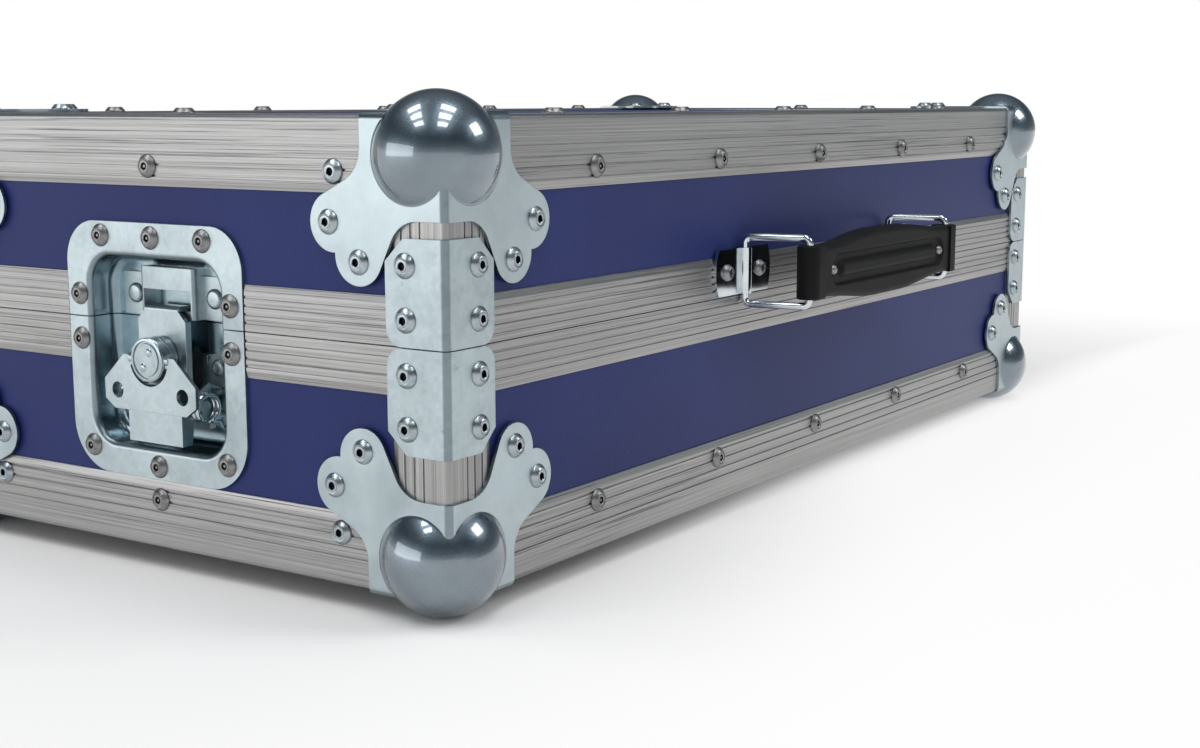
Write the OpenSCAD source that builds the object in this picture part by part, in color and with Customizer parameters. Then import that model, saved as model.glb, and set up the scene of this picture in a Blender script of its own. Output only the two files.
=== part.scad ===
// Lighting controller flight case, lying flat, closed.
// Millimetres. X runs along the long side, the handle is on the -Y side, and +Z is up.
// The origin is on the floor, under the middle of the whole object with its handle.

/* [Case body] */
// Length of the case over its edging
case_l = 625; // [540:5:900]
// Width of the case over its edging
case_w = 315; // [280:5:520]
// Height of the case over its edging
case_h = 186; // [180:1:260]
// Height of the base, from the underside to the split
base_h = 98.5; // [96:0.5:110]
// Dark gap between the base and the lid
split_gap = 0.4; // [0.3:0.1:0.8]

/* [Panels and lining] */
// Thickness of the laminated plywood panels
panel_t = 9; // [6:0.5:12]
// How far the edging stands proud of the panels
proud = 1.3; // [1:0.1:1.6]
// Thickness of the foam lining
foam_t = 13.5; // [8:0.5:20]
// Gap between the lining and what it lies against
foam_gap = 0.3; // [0.2:0.1:0.6]

/* [Edging] */
// Face width of the corner edging
edge_w = 30; // [26:1:36]
// Rounding of the edging's outer corner
edge_r = 2; // [1:0.25:3]
// Wall of the profiles inside the panels
inner_wall = 1.3; // [1:0.1:2]
// Reach of the profile's inner legs
inner_leg = 20; // [16:1:26]
// Width of one groove in the profile faces
groove_w = 1; // [0.6:0.1:1.4]
// Depth of one groove
groove_d = 0.6; // [0.3:0.1:0.8]
// Distance of the first groove from the outer corner
groove_start = 11.3; // [8:0.1:13]
// Distance between grooves
groove_step = 4.6; // [3.5:0.1:5]
// Width of the bevelled lip that meets the panel
lip_w = 3; // [2:0.25:4]
// Face width of the vertical corner posts
post_w = 27; // [24:0.5:30]

/* [Closing profiles] */
// Distance of the closing profile's first groove from the split
close_start = 3; // [2.5:0.1:4]
// Thickness of the closing profile's lip at the split
close_lip = 2; // [1.5:0.1:3]
// Reach of the closing profile's inner leg
close_leg = 14; // [10:0.5:18]
// Wall of the tongue's channel
channel_wall = 1.2; // [1:0.1:1.6]
// Room over the tongue in its channel
channel_room = 0.35; // [0.3:0.05:0.6]
// Face width of each half of the closing profile
close_w = 19.2; // [17:0.2:23]
// Distance between grooves in the closing profile
close_step = 3.5; // [3:0.1:4]
// Width of the tongue under the lid
tongue_w = 3.4; // [2.5:0.1:4]
// Height of the tongue
tongue_h = 2.8; // [2:0.1:3.5]
// Room around the tongue in its channel
tongue_gap = 0.35; // [0.3:0.05:0.6]

/* [Ball corners] */
// Radius of the pressed ball
ball_r = 24.8; // [23:0.1:27]
// Distance of the ball's centre from each case face
ball_in = 15; // [13:0.1:17]
// Sheet thickness of the ball
ball_t = 1.6; // [1.2:0.1:2]
// Height of the worn flat under each bottom ball
foot_cut = 0.4; // [0.2:0.05:0.8]
// Sheet thickness of the flanges and braces
plate_t = 1.5; // [1.2:0.1:2]
// Reach of a flange along each edge of the case
flange_run = 39.5; // [37:0.5:44]
// Distance of a lobe's centre from the near edge of the case
lobe_far = 53.5; // [51:0.5:58]
// Distance of a lobe's centre from the other edge
lobe_near = 41; // [39:0.5:44]
// Radius of each lobe
lobe_r = 11.8; // [11:0.1:13]
// Distance of a flange rivet's centre beyond the lobe's centre
lobe_rivet = 2.5; // [0:0.1:4]
// Width of the small fillet round the ball, on each flange
ball_fillet = 0.5; // [0.3:0.1:1.5]
// Radius of the hollow flank beside each lobe
flank_r = 14; // [12:0.25:15]
// Distance of a flank's centre from the near edge
flank_near = 12.2; // [11:0.2:13]

/* [Corner braces] */
// Width of a brace on each face
brace_w = 28; // [23:0.5:30]
// Gap between a brace and the ball's flange, on the lower of the two halves
brace_gap = 6.3; // [4:0.1:12]
// Distance of a brace's rivets from the corner
brace_rivet = 18.3; // [15:0.1:22]
// Distance of a brace's rivets from its two ends
brace_rivet_end = 10.4; // [7:0.1:13]
// Rounding of a brace's corner at the split
brace_r = 7; // [4:0.5:9]
// Cut across a brace's far corner
brace_cut = 9; // [6:0.5:11]

/* [Rivets] */
// Radius of a rivet head
rivet_r = 5; // [4:0.1:6]
// Radius of the rivets in the handle's brackets
ear_rivet_r = 4; // [3.5:0.1:4.5]
// Radius of the small rivets in the grip's trough
grip_rivet_r = 2.6; // [2:0.1:3]
// Height of a rivet head
rivet_h = 2.3; // [1.8:0.1:3]
// Number of rivets along a long edge
long_rivets = 5; // [3:2:9]
// Distance of the outer rivets from the ends of a long edge
long_rivet_end = 102.2; // [95:0.5:120]
// Number of rivets along a short edge
short_rivets = 3; // [3:2:5]
// Distance of the outer rivets from the ends of a short edge
short_rivet_end = 54.3; // [50:0.5:75]
// Distance of an edging rivet from the outer corner
rivet_line = 21.7; // [20:0.1:24]

/* [Latch dish] */
// Width of the dish flange
dish_w = 105.6; // [100:0.5:120]
// Height of the flange above the split
dish_up = 42; // [40:0.5:50]
// Width of the recess
recess_w = 79; // [76:0.5:90]
// Height of the recess above the split
recess_up = 27; // [26:0.5:34]
// Depth of the recess behind the flange front
recess_d = 14.4; // [14:0.1:18]
// Distance of the recess from the flange's lower end
recess_foot = 13.8; // [12:0.1:16]
// Gap between the dish's flange and the edging below it
dish_gap = 0.3; // [0.2:0.1:1]
// Gap between the dish and the panel and foam cut out for it
dish_clear = 0.6; // [0.4:0.1:1]
// Sheet thickness of the dish
dish_t = 1.6; // [1.2:0.1:2]
// Corner radius of the recess
recess_r = 13; // [10:0.5:16]
// Radius of the rolled rim
rim_r = 2.6; // [2.2:0.1:3]
// Radius of the fillet at the dish floor
floor_r = 4; // [3:0.25:5]
// Corner radius of the flange above the split
flange_top_r = 18; // [14:0.5:22]
// Corner radius of the flange below the split
flange_low_r = 22; // [16:0.5:26]

/* [Latch mechanism] */
// Depth of the turning axis below the split
turn_y = 15.5; // [14.5:0.1:16.5]
// Radius of the turning barrel
barrel_r = 9.5; // [8.5:0.1:9.8]
// How far the barrel stands out of the case face
barrel_out = 4.6; // [4.2:0.1:6]
// Offset of the cam that lifts the hook
cam_off = 2; // [1.5:0.1:2.2]
// Radius of the cam
cam_r = 6.3; // [6:0.1:6.5]
// Width of the draw hook
hook_w = 28.7; // [28:0.1:30]
// Sheet thickness of the draw hook
hook_t = 2; // [1.6:0.1:2.2]
// Depth of the draw hook's front below the case face
hook_z = 4.2; // [4:0.1:4.6]
// Height of the hook's tip above the split, at its top
hook_up = 6.8; // [6:0.1:8]
// Width of the hook's tip
tip_w = 20.4; // [18:0.2:22]
// Play of the hook's tip in the keeper's window, at its lower edge
tip_play = 0.3; // [0.3:0.1:0.6]
// Free height of the keeper's window over the raised tip
window_room = 2.3; // [1.5:0.1:3]
// Distance of the hook's lower end below the turning axis
hook_tail = 11.5; // [10.5:0.1:12]
// Length by which the hook's tip reaches behind the keeper
tip_hold = 1.3; // [0.8:0.1:2]
// Radius of the barrel's shaft in the lever's web
shaft_r = 4.5; // [4:0.1:5]
// Radius of the shaft's riveted end
shaft_head_r = 6.5; // [5.5:0.1:7]
// Radius of the barrel's two dimples
dimple_r = 2.3; // [1.8:0.1:2.6]
// Distance of a dimple's centre from the turning axis
dimple_at = 3.9; // [3.4:0.1:4.4]

/* [Keeper] */
// Depth of the keeper's front below the case face
keeper_z = 7.8; // [7.5:0.1:8.8]
// Width of the keeper's bridge
keeper_w = 33; // [30:0.5:34]
// Height of the keeper's bridge above the split
keeper_up = 22.7; // [21:0.1:24]
// Distance of the keeper's lower end from the split
keeper_low = 0.9; // [0.6:0.1:1.5]
// Width of the keeper's window
window_w = 28.4; // [25:0.2:29]
// Outer bend radius of the keeper's bridge
keeper_bend = 2.2; // [1.8:0.1:3]
// Reach of a keeper foot beside its bridge
keeper_foot = 15; // [12:0.5:18]
// How much lower the keeper's feet end than its bridge
keeper_foot_cut = 3.2; // [2:0.1:5]
// Radius of the rivets in the keeper's feet
inner_rivet_r = 4.4; // [3.5:0.1:5]
// Sheet thickness of the keeper and the pivot bracket
strap_t = 1.6; // [1.4:0.1:1.8]

/* [Pivot bracket and springs] */
// Gap between the bracket's lower end and the dish's fillet
bracket_gap = 4.4; // [3:0.1:6]
// Length of the bracket's base
bracket_len = 32; // [28:1:36]
// Length of an ear along the base
ear_len = 20; // [16:1:24]
// Radius of an ear round the pivot pin
ear_r = 5.5; // [5:0.1:6]
// Distance of the bracket's foot rivets below the split
bracket_foot_y = 19; // [17:0.5:22]
// Radius of a bracket foot
bracket_foot_r = 6.3; // [5:0.1:7]
// Width of a foot where it joins the base
bracket_neck = 8; // [6:0.5:10]
// Radius of the rivets in the bracket's feet
foot_rivet_r = 3.6; // [3:0.1:4.5]
// Place of the pivot pin, as a share of the way from the hook's lower end to the lever's
pin_share = 0.324; // [0.25:0.002:0.4]
// Depth of the pivot pin below the case face
pin_z = 6; // [5.8:0.1:6.4]
// Radius of the pivot pin
pin_r = 3; // [2.5:0.1:3.2]
// Wire of the torsion springs
spring_wire = 1.6; // [1.4:0.1:1.8]
// Gap between neighbouring turns of a spring
turn_gap = 0.5; // [0.45:0.05:0.8]
// Turns in each torsion spring
spring_turns = 3; // [2:1:4]

/* [Lever] */
// Width of the tilting lever's lower box
lever_w = 32.5; // [32:0.1:33.5]
// Sheet thickness of the lever
lever_t = 1.6; // [1.4:0.1:1.8]
// Gap between the lever's lower end and the recess wall
lever_gap = 2.4; // [2:0.1:4]
// How far the lever's lower box stands out of the case face
box_z = 1.5; // [1:0.1:1.8]
// Height of the lever's sides at its lower end
box_side = 5.5; // [4:0.1:7]
// Place of the lever's step, as a share of the way from its web to its lower end
step_share = 0.36; // [0.25:0.01:0.5]
// Radius of the lever's ears round the pin
lever_ear_r = 5; // [4.5:0.1:5.5]

/* [Wing] */
// Radius of the wing's clearance round the barrel
wing_cut_r = 11.5; // [11.3:0.1:12]
// Half width of the wing
wing_x = 27.6; // [25:0.2:29]
// Half width of the wing's upper edge
wing_top_x = 15.2; // [13:0.2:17]
// Height of the wing's upper edge over the turning axis
wing_top_y = 1.5; // [1:0.1:2]
// Upper end of the wing's side edges below the turning axis
wing_side_up = 10; // [8:0.5:12]
// Lower end of the wing's side edges below the turning axis
wing_side_low = 18.6; // [17:0.1:20]
// Width of the slanting cut at the wing's lower corners
wing_cut = 5.8; // [4:0.1:8]
// Reach of the wing below the turning axis
wing_low = 22.6; // [21:0.2:24]
// Sheet thickness of the wing
wing_t = 1.8; // [1.5:0.1:2]
// Radius of the two finger holes in the wing
wing_hole_r = 3.5; // [3:0.1:4]
// Distance of a finger hole from the middle of the wing
wing_hole_x = 19.7; // [18:0.1:21]
// Distance of the finger holes below the turning axis
wing_hole_y = 14.5; // [13:0.1:16]
// Radius of the wing's ears round their pin
wing_ear_r = 2.9; // [2.5:0.1:3]
// Radial clearance of pins and shafts
run_gap = 0.08; // [0.03:0.01:0.1]

/* [Latch rivets] */
// Distance of the rivets beside the split from the flange's edge
side_rivet_x = 7.3; // [6:0.1:9]
// Distance of those rivets from the split
side_rivet_y = 9.85; // [8:0.05:12]
// Distance of the upper rivets from the flange's upper edge
top_rivet_y = 6.2; // [5.5:0.1:8]
// Distance of the upper rivets from the middle
top_rivet_x = 30.7; // [27:0.1:33]
// Distance of the lower corner rivets from the flange's side edge
low_rivet_x = 11.8; // [10:0.1:13]
// Distance of the lower corner rivets from the flange's lower edge
low_rivet_y = 11.2; // [10:0.1:13]
// Distance of the lowest rivet from the flange's lower edge
foot_rivet_y = 5.8; // [5.5:0.1:8]

/* [Handle] */
// Distance between the two handle brackets
handle_span = 168; // [150:2:200]
// Height of the handle's middle above the split
handle_up = 11.8; // [11.5:0.1:12.5]
// Width of a bracket
ear_w = 54; // [50:1:60]
// Height of a bracket
ear_h = 22; // [20:0.5:22.5]
// Sheet thickness of a bracket
ear_t = 1.5; // [1.2:0.1:2]
// Radius of a bracket's bowed ends
ear_bow = 24; // [20:1:40]
// Distance of a bracket's rivets from its middle
ear_rivet = 16; // [13:0.5:19]
// Wire radius of the loops
wire_r = 1.75; // [1.5:0.05:2]
// Length of a loop, between its two upright legs
loop_l = 32; // [30:0.5:38]
// Half height of a loop, to the middle of the wire
loop_half = 16.3; // [15.5:0.1:18]
// Lean of the loops at rest, towards +X
loop_lean = 12; // [0:1:15]
// Half height of the grip at its ends
grip_end_h = 12.75; // [11:0.25:13]
// Half height of the grip in the middle
grip_mid_h = 17; // [14:0.25:20]
// Radius of the grip's rolled ends
grip_end_r = 6; // [5:0.1:6.5]
// Distance of the grip's outer face from the line through its pivots
grip_face = 5; // [4:0.1:5.5]
// Depth of the grip behind that line, at its ends
grip_back_end = 4.4; // [4:0.1:5]
// Depth of the grip behind that line, in the middle
grip_back_mid = 6.8; // [5:0.1:8]
// Length over which the grip widens to its middle height
grip_ramp = 60; // [40:1:70]
// Rounding of the grip's long edges
grip_edge = 3; // [2:0.1:4]
// Half width of the trough in the grip's face
trough_r = 8; // [7:0.1:9]
// Depth of the trough
trough_d = 1.7; // [1:0.1:2.5]
// Distance of the trough's end from the pivot
trough_end = 14; // [12:0.5:20]
// Radius of the rib along the trough
rib_r = 7; // [6:0.1:7.5]
// Height of the rib over the grip's face
rib_up = 0.9; // [0.4:0.1:1.5]

/* [Hidden] */
// small overlap that keeps joined shapes one solid
eps = 0.01;
// facets of round shapes: large, medium and small
fn_big = 96;
fn_mid = 64;
fn_small = 32;
// height of the case body's underside above the floor
foot_h = ball_r - ball_in - foot_cut;
split_z = foot_h + base_h;
half_gap = split_gap / 2;
// depth of the panels' inner face, and of the profiles' inner face
panel_in = proud + panel_t;
profile_in = panel_in + inner_wall;
// the four sides, seen from outside: front, right, back, left
side_angle = [0, 90, 180, 270];
side_len = [case_l, case_w, case_l, case_w];
side_dist = [case_w / 2, case_l / 2, case_w / 2, case_l / 2];
end_sides = [1, 3];
// braces end short of the flanges on the lower of the two halves
lid_h = case_h - base_h;
brace_h = min(base_h, lid_h) - half_gap - flange_run - brace_gap;
// walls run from the edging's box to the closing profile's channel
channel_d = tongue_h + tongue_gap + channel_room;
channel_mid = proud + panel_t / 2;
wall_top = channel_d + channel_wall;
// recess, measured from the split, with +y up and +z out of the case
flange_z = dish_t - proud;
dish_low = base_h - edge_w - dish_gap;
recess_low = dish_low - recess_foot;
floor_z = flange_z - recess_d;
foot_plate_z = floor_z + strap_t;
// latch pieces
cam_room = 0.55;
side_play = 0.45;
hook_back = hook_z + hook_t;
hook_wall = 1.6;
hook_low = turn_y + hook_tail;
web_front = hook_back + 0.3;
web_back = web_front + 2;
web_w = hook_w - 2 * (hook_wall + side_play);
web_y = hook_low + 1.5;
tip_t = 2;
window_low = hook_up - tip_t - tip_play;
window_high = hook_up + 2 * cam_off + window_room;
lever_low = recess_low - lever_gap;
step_y = web_y + step_share * (lever_low - web_y);
wing_pin_r = 1.5;
wing_pin_z = 1.6;
wing_out = barrel_out - 0.6;
// the pin, and its height over the bracket's feet
pin_y = hook_low + pin_share * (lever_low - hook_low);
pin_foot = -pin_z - foot_plate_z;
ear_in = lever_w / 2 + side_play;
ear_out = ear_in + strap_t;
coil_gap = 0.6;
coil_pitch = spring_wire + turn_gap;
coil_l = coil_pitch * spring_turns + spring_wire;
coil_r = pin_foot - spring_wire / 2;
coil_steps = 12;
leg_reach = 0.65 * (recess_low - floor_r - pin_y);
// handle
wire_z = wire_r + 0.25;
handle_z = split_z + handle_up;
grip_shift = loop_l * sin(loop_lean);
grip_out = wire_z + loop_l * cos(loop_lean);
// bend of the wire, just clear of the grip's end
loop_bend = loop_half - grip_end_h - 0.35;
// the case body's middle in y, beside the middle of the whole object with its handle
middle_y = (grip_out + grip_end_r - ball_r + ball_in) / 2;
groove_list = [for (i = [0:3]) groove_start + i * groove_step];
close_grooves = [for (i = [0:3]) close_start + i * close_step];
long_step = (case_l - 2 * long_rivet_end) / (long_rivets - 1);
short_step = (case_w - 2 * short_rivet_end) / (short_rivets - 1);

blue = [0.16, 0.19, 0.42];
alloy = [0.74, 0.74, 0.73];
zinc = [0.72, 0.77, 0.80];
chrome = [0.55, 0.60, 0.63];
rivet_steel = [0.50, 0.51, 0.52];
foam_grey = [0.17, 0.17, 0.18];
grip_black = [0.13, 0.13, 0.14];

// Frames

// A side seen from outside: x to the right, y into the case, z up from the floor
module on_side(i) {
    translate([0, middle_y, 0]) rotate([0, 0, side_angle[i]]) translate([0, -side_dist[i], 0]) children();
}

// A spot on a side's face: z points out of the case
module on_face(i, x, z) {
    on_side(i) translate([x, 0, z]) rotate([90, 0, 0]) children();
}

// The lid's frame: the base's shapes turned over, with their underside on top
module as_lid() {
    translate([0, 0, 2 * foot_h + case_h]) mirror([0, 0, 1]) children();
}

// One of the eight corners: x, y and z run into the case from its three faces
module at_corner(right, back) {
    translate([(right ? 1 : -1) * case_l / 2, middle_y + (back ? 1 : -1) * case_w / 2, foot_h])
        mirror([right ? 1 : 0, 0, 0]) mirror([0, back ? 1 : 0, 0]) children();
}

// The latch on an end: x across, y up from the split, z out of the case
module at_latch(side) {
    on_face(side, 0, split_z) children();
}

module rounded(w, h, r) {
    for (x = [r, w - r], y = [r, h - r]) translate([x, y]) circle(r, $fn = fn_mid);
    translate([r, 0]) square([w - 2 * r, h]);
    translate([0, r]) square([w, h - 2 * r]);
}

// Edging and closing profiles

// One outer leg, lying along x from 0 to w, with its outer face at y = 0
module grooved_leg(w, grooves) {
    difference() {
        square([w, proud]);
        for (g = grooves) if (g + groove_w < w - lip_w) translate([g, -1]) square([groove_w, groove_d + 1]);
        polygon([[w - lip_w, 0], [w + 1, 0.8 * proud], [w + 1, -1], [w - lip_w, -1]]);
    }
}

// Corner profile: grooved outer legs, a square tube in the corner, and inner legs behind the panels
module corner_profile(w) {
    difference() {
        union() {
            grooved_leg(w, groove_list);
            mirror([1, -1]) grooved_leg(w, groove_list);
            difference() {
                square(profile_in);
                translate([proud, proud]) square(panel_t);
            }
            translate([0, panel_in]) square([inner_leg, inner_wall]);
            translate([panel_in, 0]) square([inner_wall, inner_leg]);
            square(edge_r + proud);
        }
        outer_corner();
    }
}

// What the rounding takes off an outer corner
module outer_corner() {
    difference() {
        translate([-1, -1]) square(edge_r + 1);
        translate([edge_r, edge_r]) circle(edge_r, $fn = fn_mid);
    }
}

// Closing profile: x is the distance from the split, y the depth from the outer face
module closing_profile(tongue) {
    difference() {
        union() {
            grooved_leg(close_w - half_gap, close_grooves);
            square([close_lip, profile_in]);
            translate([0, panel_in]) square([close_leg, inner_wall]);
            translate([0, channel_mid - tongue_w / 2 - tongue_gap - channel_wall])
                square([wall_top, tongue_w + 2 * (tongue_gap + channel_wall)]);
            if (tongue)
                translate([-tongue_h, channel_mid - tongue_w / 2])
                    square([tongue_h + 1, tongue_w]);
        }
        if (tongue)
            translate([close_lip, channel_mid - tongue_w / 2])
                square([wall_top - channel_wall - close_lip, tongue_w]);
        else
            translate([-1, channel_mid - tongue_w / 2 - tongue_gap])
                square([channel_d + 1, tongue_w + 2 * tongue_gap]);
    }
}

// What a side's profile may fill between its two mitres
module mitred(i, h) {
    reach = profile_in + edge_w;
    linear_extrude(h + 2) polygon([
        [-side_len[i] / 2, 0], [side_len[i] / 2, 0],
        [side_len[i] / 2 - reach, reach], [-side_len[i] / 2 + reach, reach]]);
}

// The sharp corner of the case body, which the ball leaves no room for
module ball_room() {
    difference() {
        translate([-1, -1, -1]) cube(ball_in + 1);
        translate([ball_in, ball_in, ball_in]) sphere(ball_r - ball_t - 0.3, $fn = fn_big);
    }
}

module edge_bar(i) {
    color(alloy) difference() {
        on_side(i) intersection() {
            translate([-side_len[i] / 2, 0, foot_h]) rotate([90, 0, 90])
                linear_extrude(side_len[i]) corner_profile(edge_w);
            translate([0, 0, foot_h - 1]) mitred(i, edge_w);
        }
        for (r = [false, true], b = [false, true]) at_corner(r, b) ball_room();
    }
}

module posts(h) {
    color(alloy) for (r = [false, true], b = [false, true]) at_corner(r, b)
        translate([0, 0, edge_w]) linear_extrude(h - close_w - edge_w) corner_profile(post_w);
}

// Closing frame, open where the latch dishes pass through it
module closing_ring(h, tongue) {
    color(alloy) difference() {
        for (i = [0:3]) on_side(i) difference() {
            intersection() {
                translate([-side_len[i] / 2, 0, foot_h + h - half_gap]) rotate([90, 0, 90])
                    linear_extrude(side_len[i]) mirror([0, 1]) mirror([1, -1]) closing_profile(tongue);
                translate([0, 0, foot_h]) mitred(i, h + tongue_h);
            }
            if (i == end_sides[0] || i == end_sides[1]) dish_cut(h);
        }
        for (r = [false, true], b = [false, true]) at_corner(r, b) linear_extrude(h) outer_corner();
    }
}

// Room for a latch dish in an end: the recess, and the flange where the profile's face would be
module dish_cut(h) {
    translate([-recess_w / 2 - dish_t - dish_clear, -1, foot_h])
        cube([recess_w + 2 * (dish_t + dish_clear), profile_in + 20, h + tongue_h + 1]);
    translate([-dish_w / 2 - dish_clear, -1, foot_h])
        cube([dish_w + 2 * dish_clear, proud + 1, h + tongue_h + 1]);
}

// Panels

module floor_panel() {
    color(blue) translate([profile_in - case_l / 2, middle_y + profile_in - case_w / 2, foot_h + proud])
        cube([case_l - 2 * profile_in, case_w - 2 * profile_in, panel_t]);
}

// A wall h high over the case's underside, with the recess cut out of it where it has a latch
module wall_panel(i, h, low) {
    color(blue) on_side(i) difference() {
        translate([profile_in - side_len[i] / 2, proud, foot_h + profile_in])
            cube([side_len[i] - 2 * profile_in, panel_t, h - half_gap - wall_top - profile_in]);
        if (i == end_sides[0] || i == end_sides[1])
            translate([0, 0, foot_h + h]) rotate([90, 0, 0]) dish_hole(low);
    }
}

// Rounded hole for the dish, from the split down to its lower end
module dish_hole(low) {
    c = dish_t + dish_clear;
    translate([-recess_w / 2 - c, -low - c, -panel_in - 1]) linear_extrude(panel_in + 2)
        union() {
            rounded(recess_w + 2 * c, low + c, recess_r + c);
            translate([0, recess_r + c]) square([recess_w + 2 * c, low]);
        }
}

// Foam tub: floor and four walls, with a pocket behind each latch dish
module lining(h, low) {
    out = profile_in + foam_gap;
    c = dish_t + dish_clear;
    color(foam_grey) difference() {
        translate([out - case_l / 2, middle_y + out - case_w / 2, foot_h + out])
            cube([case_l - 2 * out, case_w - 2 * out, h - out - 0.5]);
        translate([out + foam_t - case_l / 2, middle_y + out + foam_t - case_w / 2, foot_h + out + foam_t])
            cube([case_l - 2 * (out + foam_t), case_w - 2 * (out + foam_t), h]);
        for (i = end_sides) on_side(i)
            translate([-recess_w / 2 - c, 0, foot_h + h - low - c])
                cube([recess_w + 2 * c, recess_d + c, low + 2 * c + 1]);
    }
}

// Ball corners and braces

flank_c = [flange_run + flank_r, flank_near];
lobe_c = [lobe_far, lobe_near];
lobe_tilt = atan2(lobe_c.y - flank_c.y, lobe_c.x - flank_c.x)
    + acos((flank_r + lobe_r) / norm(lobe_c - flank_c));
function polar(r, a) = [r * cos(a), r * sin(a)];

// One flange: two lobes, symmetrical about the diagonal
module flange_outline() {
    a = flank_c + polar(flank_r, lobe_tilt);
    b = lobe_c - polar(lobe_r, lobe_tilt);
    difference() {
        union() {
            polygon([[0, 0], [flange_run, 0], [flange_run, flank_c.y], a, b, lobe_c,
                [lobe_c.y, lobe_c.x], [b.y, b.x], [a.y, a.x], [flank_c.y, flange_run], [0, flange_run]]);
            translate(lobe_c) circle(lobe_r, $fn = fn_mid);
            translate([lobe_c.y, lobe_c.x]) circle(lobe_r, $fn = fn_mid);
        }
        translate(flank_c) circle(flank_r, $fn = fn_mid);
        translate([flank_c.y, flank_c.x]) circle(flank_r, $fn = fn_mid);
    }
}

// Turns the x-y face into each of the three faces that meet at a corner
module each_face() {
    children();
    rotate([90, 0, 90]) children();
    mirror([0, 1, 0]) rotate([90, 0, 0]) children();
}

// A sheet bend along z, round the edging's rounded corner
module bend(h) {
    linear_extrude(h) intersection() {
        difference() {
            translate([edge_r, edge_r]) circle(edge_r + plate_t, $fn = fn_mid);
            translate([edge_r, edge_r]) circle(edge_r, $fn = fn_mid);
        }
        translate([-plate_t - 1, -plate_t - 1]) square(edge_r + plate_t + 1 + eps);
    }
}

// Ball with three flanges, hollow, open towards the case
module ball_corner(foot) {
    c = [ball_in, ball_in, ball_in];
    shoulder = sqrt(pow(ball_r, 2) - pow(ball_in + plate_t, 2));
    color(chrome) difference() {
        union() {
            translate(c) sphere(ball_r, $fn = fn_big);
            difference() {
                union() {
                    each_face() {
                        translate([0, 0, -plate_t]) linear_extrude(plate_t) intersection() {
                            flange_outline();
                            translate([edge_r, edge_r]) square(lobe_far + lobe_r);
                        }
                        bend(flange_run);
                        intersection() {
                            translate([ball_in, ball_in, -plate_t]) mirror([0, 0, 1])
                                cylinder(ball_fillet, shoulder + ball_fillet, shoulder - ball_fillet,
                                    $fn = fn_mid);
                            translate([edge_r, edge_r, -ball_r]) cube([lobe_far, lobe_far, ball_r]);
                        }
                    }
                }
                translate([-ball_in, -ball_in, -ball_in]) cube(2 * ball_in);
            }
        }
        translate(c) sphere(ball_r - ball_t, $fn = fn_big);
        difference() {
            cube(lobe_far + lobe_r + 5);
            ball_room();
        }
        if (foot) translate([-ball_r, -ball_r, foot_cut - 2 * ball_r + ball_in])
            cube([3 * ball_r, 3 * ball_r, ball_r]);
    }
}

// One corner's ball, in place on the base or the lid
module ball_at(right, back, foot) {
    at_corner(right, back) ball_corner(foot);
}

// Outline of a brace's plate: rounded at the split, cut across at its far corner
module brace_outline() {
    square([brace_w - brace_r, brace_r + eps]);
    translate([brace_w - brace_r, brace_r]) circle(brace_r, $fn = fn_mid);
    translate([0, brace_r]) polygon([[0, 0], [brace_w, 0], [brace_w, brace_h - brace_r - brace_cut],
        [brace_w - brace_cut, brace_h - brace_r], [0, brace_h - brace_r]]);
}

// Angle plates under the split at the four corners
module braces(h) {
    color(zinc) for (r = [false, true], b = [false, true]) at_corner(r, b)
        translate([0, 0, h - half_gap]) mirror([0, 0, 1]) {
            bend(brace_h);
            for (m = [0, 1]) mirror([m, -m, 0]) rotate([90, 0, 0]) linear_extrude(plate_t)
                intersection() {
                    brace_outline();
                    translate([edge_r, 0]) square([brace_w, brace_h]);
                }
        }
}

// Rivets

// Domed blind rivet with a mandrel hole, standing on z = 0
module rivet(r, h) {
    rotate_extrude($fn = fn_small) polygon([
        [0, 0], [r, 0], [r, 0.2 * h], [0.64 * r, h], [0.3 * r, h], [0.3 * r, 0.55 * h], [0, 0.55 * h]]);
}

// Rows of rivets along the edging, on the side faces and on the flat face
module edging_rivets() {
    for (i = [0:3]) {
        n = i % 2 == 0 ? long_rivets : short_rivets;
        step = i % 2 == 0 ? long_step : short_step;
        for (k = [0:n - 1]) {
            x = (k - (n - 1) / 2) * step;
            on_face(i, x, foot_h + rivet_line) rivet(rivet_r, rivet_h);
            if (i % 2 == 0 || (k > 0 && k < n - 1))
                on_side(i) translate([x, rivet_line, foot_h]) mirror([0, 0, 1]) rivet(rivet_r, rivet_h);
        }
    }
}

// Two rivets in each flange and four in each brace
module corner_rivets(h) {
    lobe = [lobe_far + lobe_rivet, lobe_near];
    for (r = [false, true], b = [false, true]) at_corner(r, b) {
        each_face() for (p = [lobe, [lobe.y, lobe.x]])
            translate([p.x, p.y, -plate_t]) mirror([0, 0, 1]) rivet(rivet_r, rivet_h);
        for (m = [0, 1], z = [brace_rivet_end, brace_h - brace_rivet_end]) mirror([m, -m, 0])
            translate([brace_rivet, -plate_t, h - half_gap - z]) rotate([90, 0, 0]) rivet(rivet_r, rivet_h);
    }
}

// Latch: x across, y up from the split, z out of the case

// Region of a pressed pan below the split, with rounded lower corners
module pan_outline(w, d, r) {
    for (x = [r - w / 2, w / 2 - r]) translate([x, r - d]) circle(r, $fn = fn_mid);
    translate([r - w / 2, -d]) square([w - 2 * r, r]);
    translate([-w / 2, r - d]) square([w, d - r - half_gap]);
}

// A quarter of a ring, in the quadrant that starts at angle a
module ring_quarter(r_in, r_out, a) {
    intersection() {
        difference() {
            circle(r_out, $fn = fn_mid);
            if (r_in > 0) circle(r_in, $fn = fn_mid);
        }
        rotate(a) square(r_out + 1);
    }
}

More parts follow.
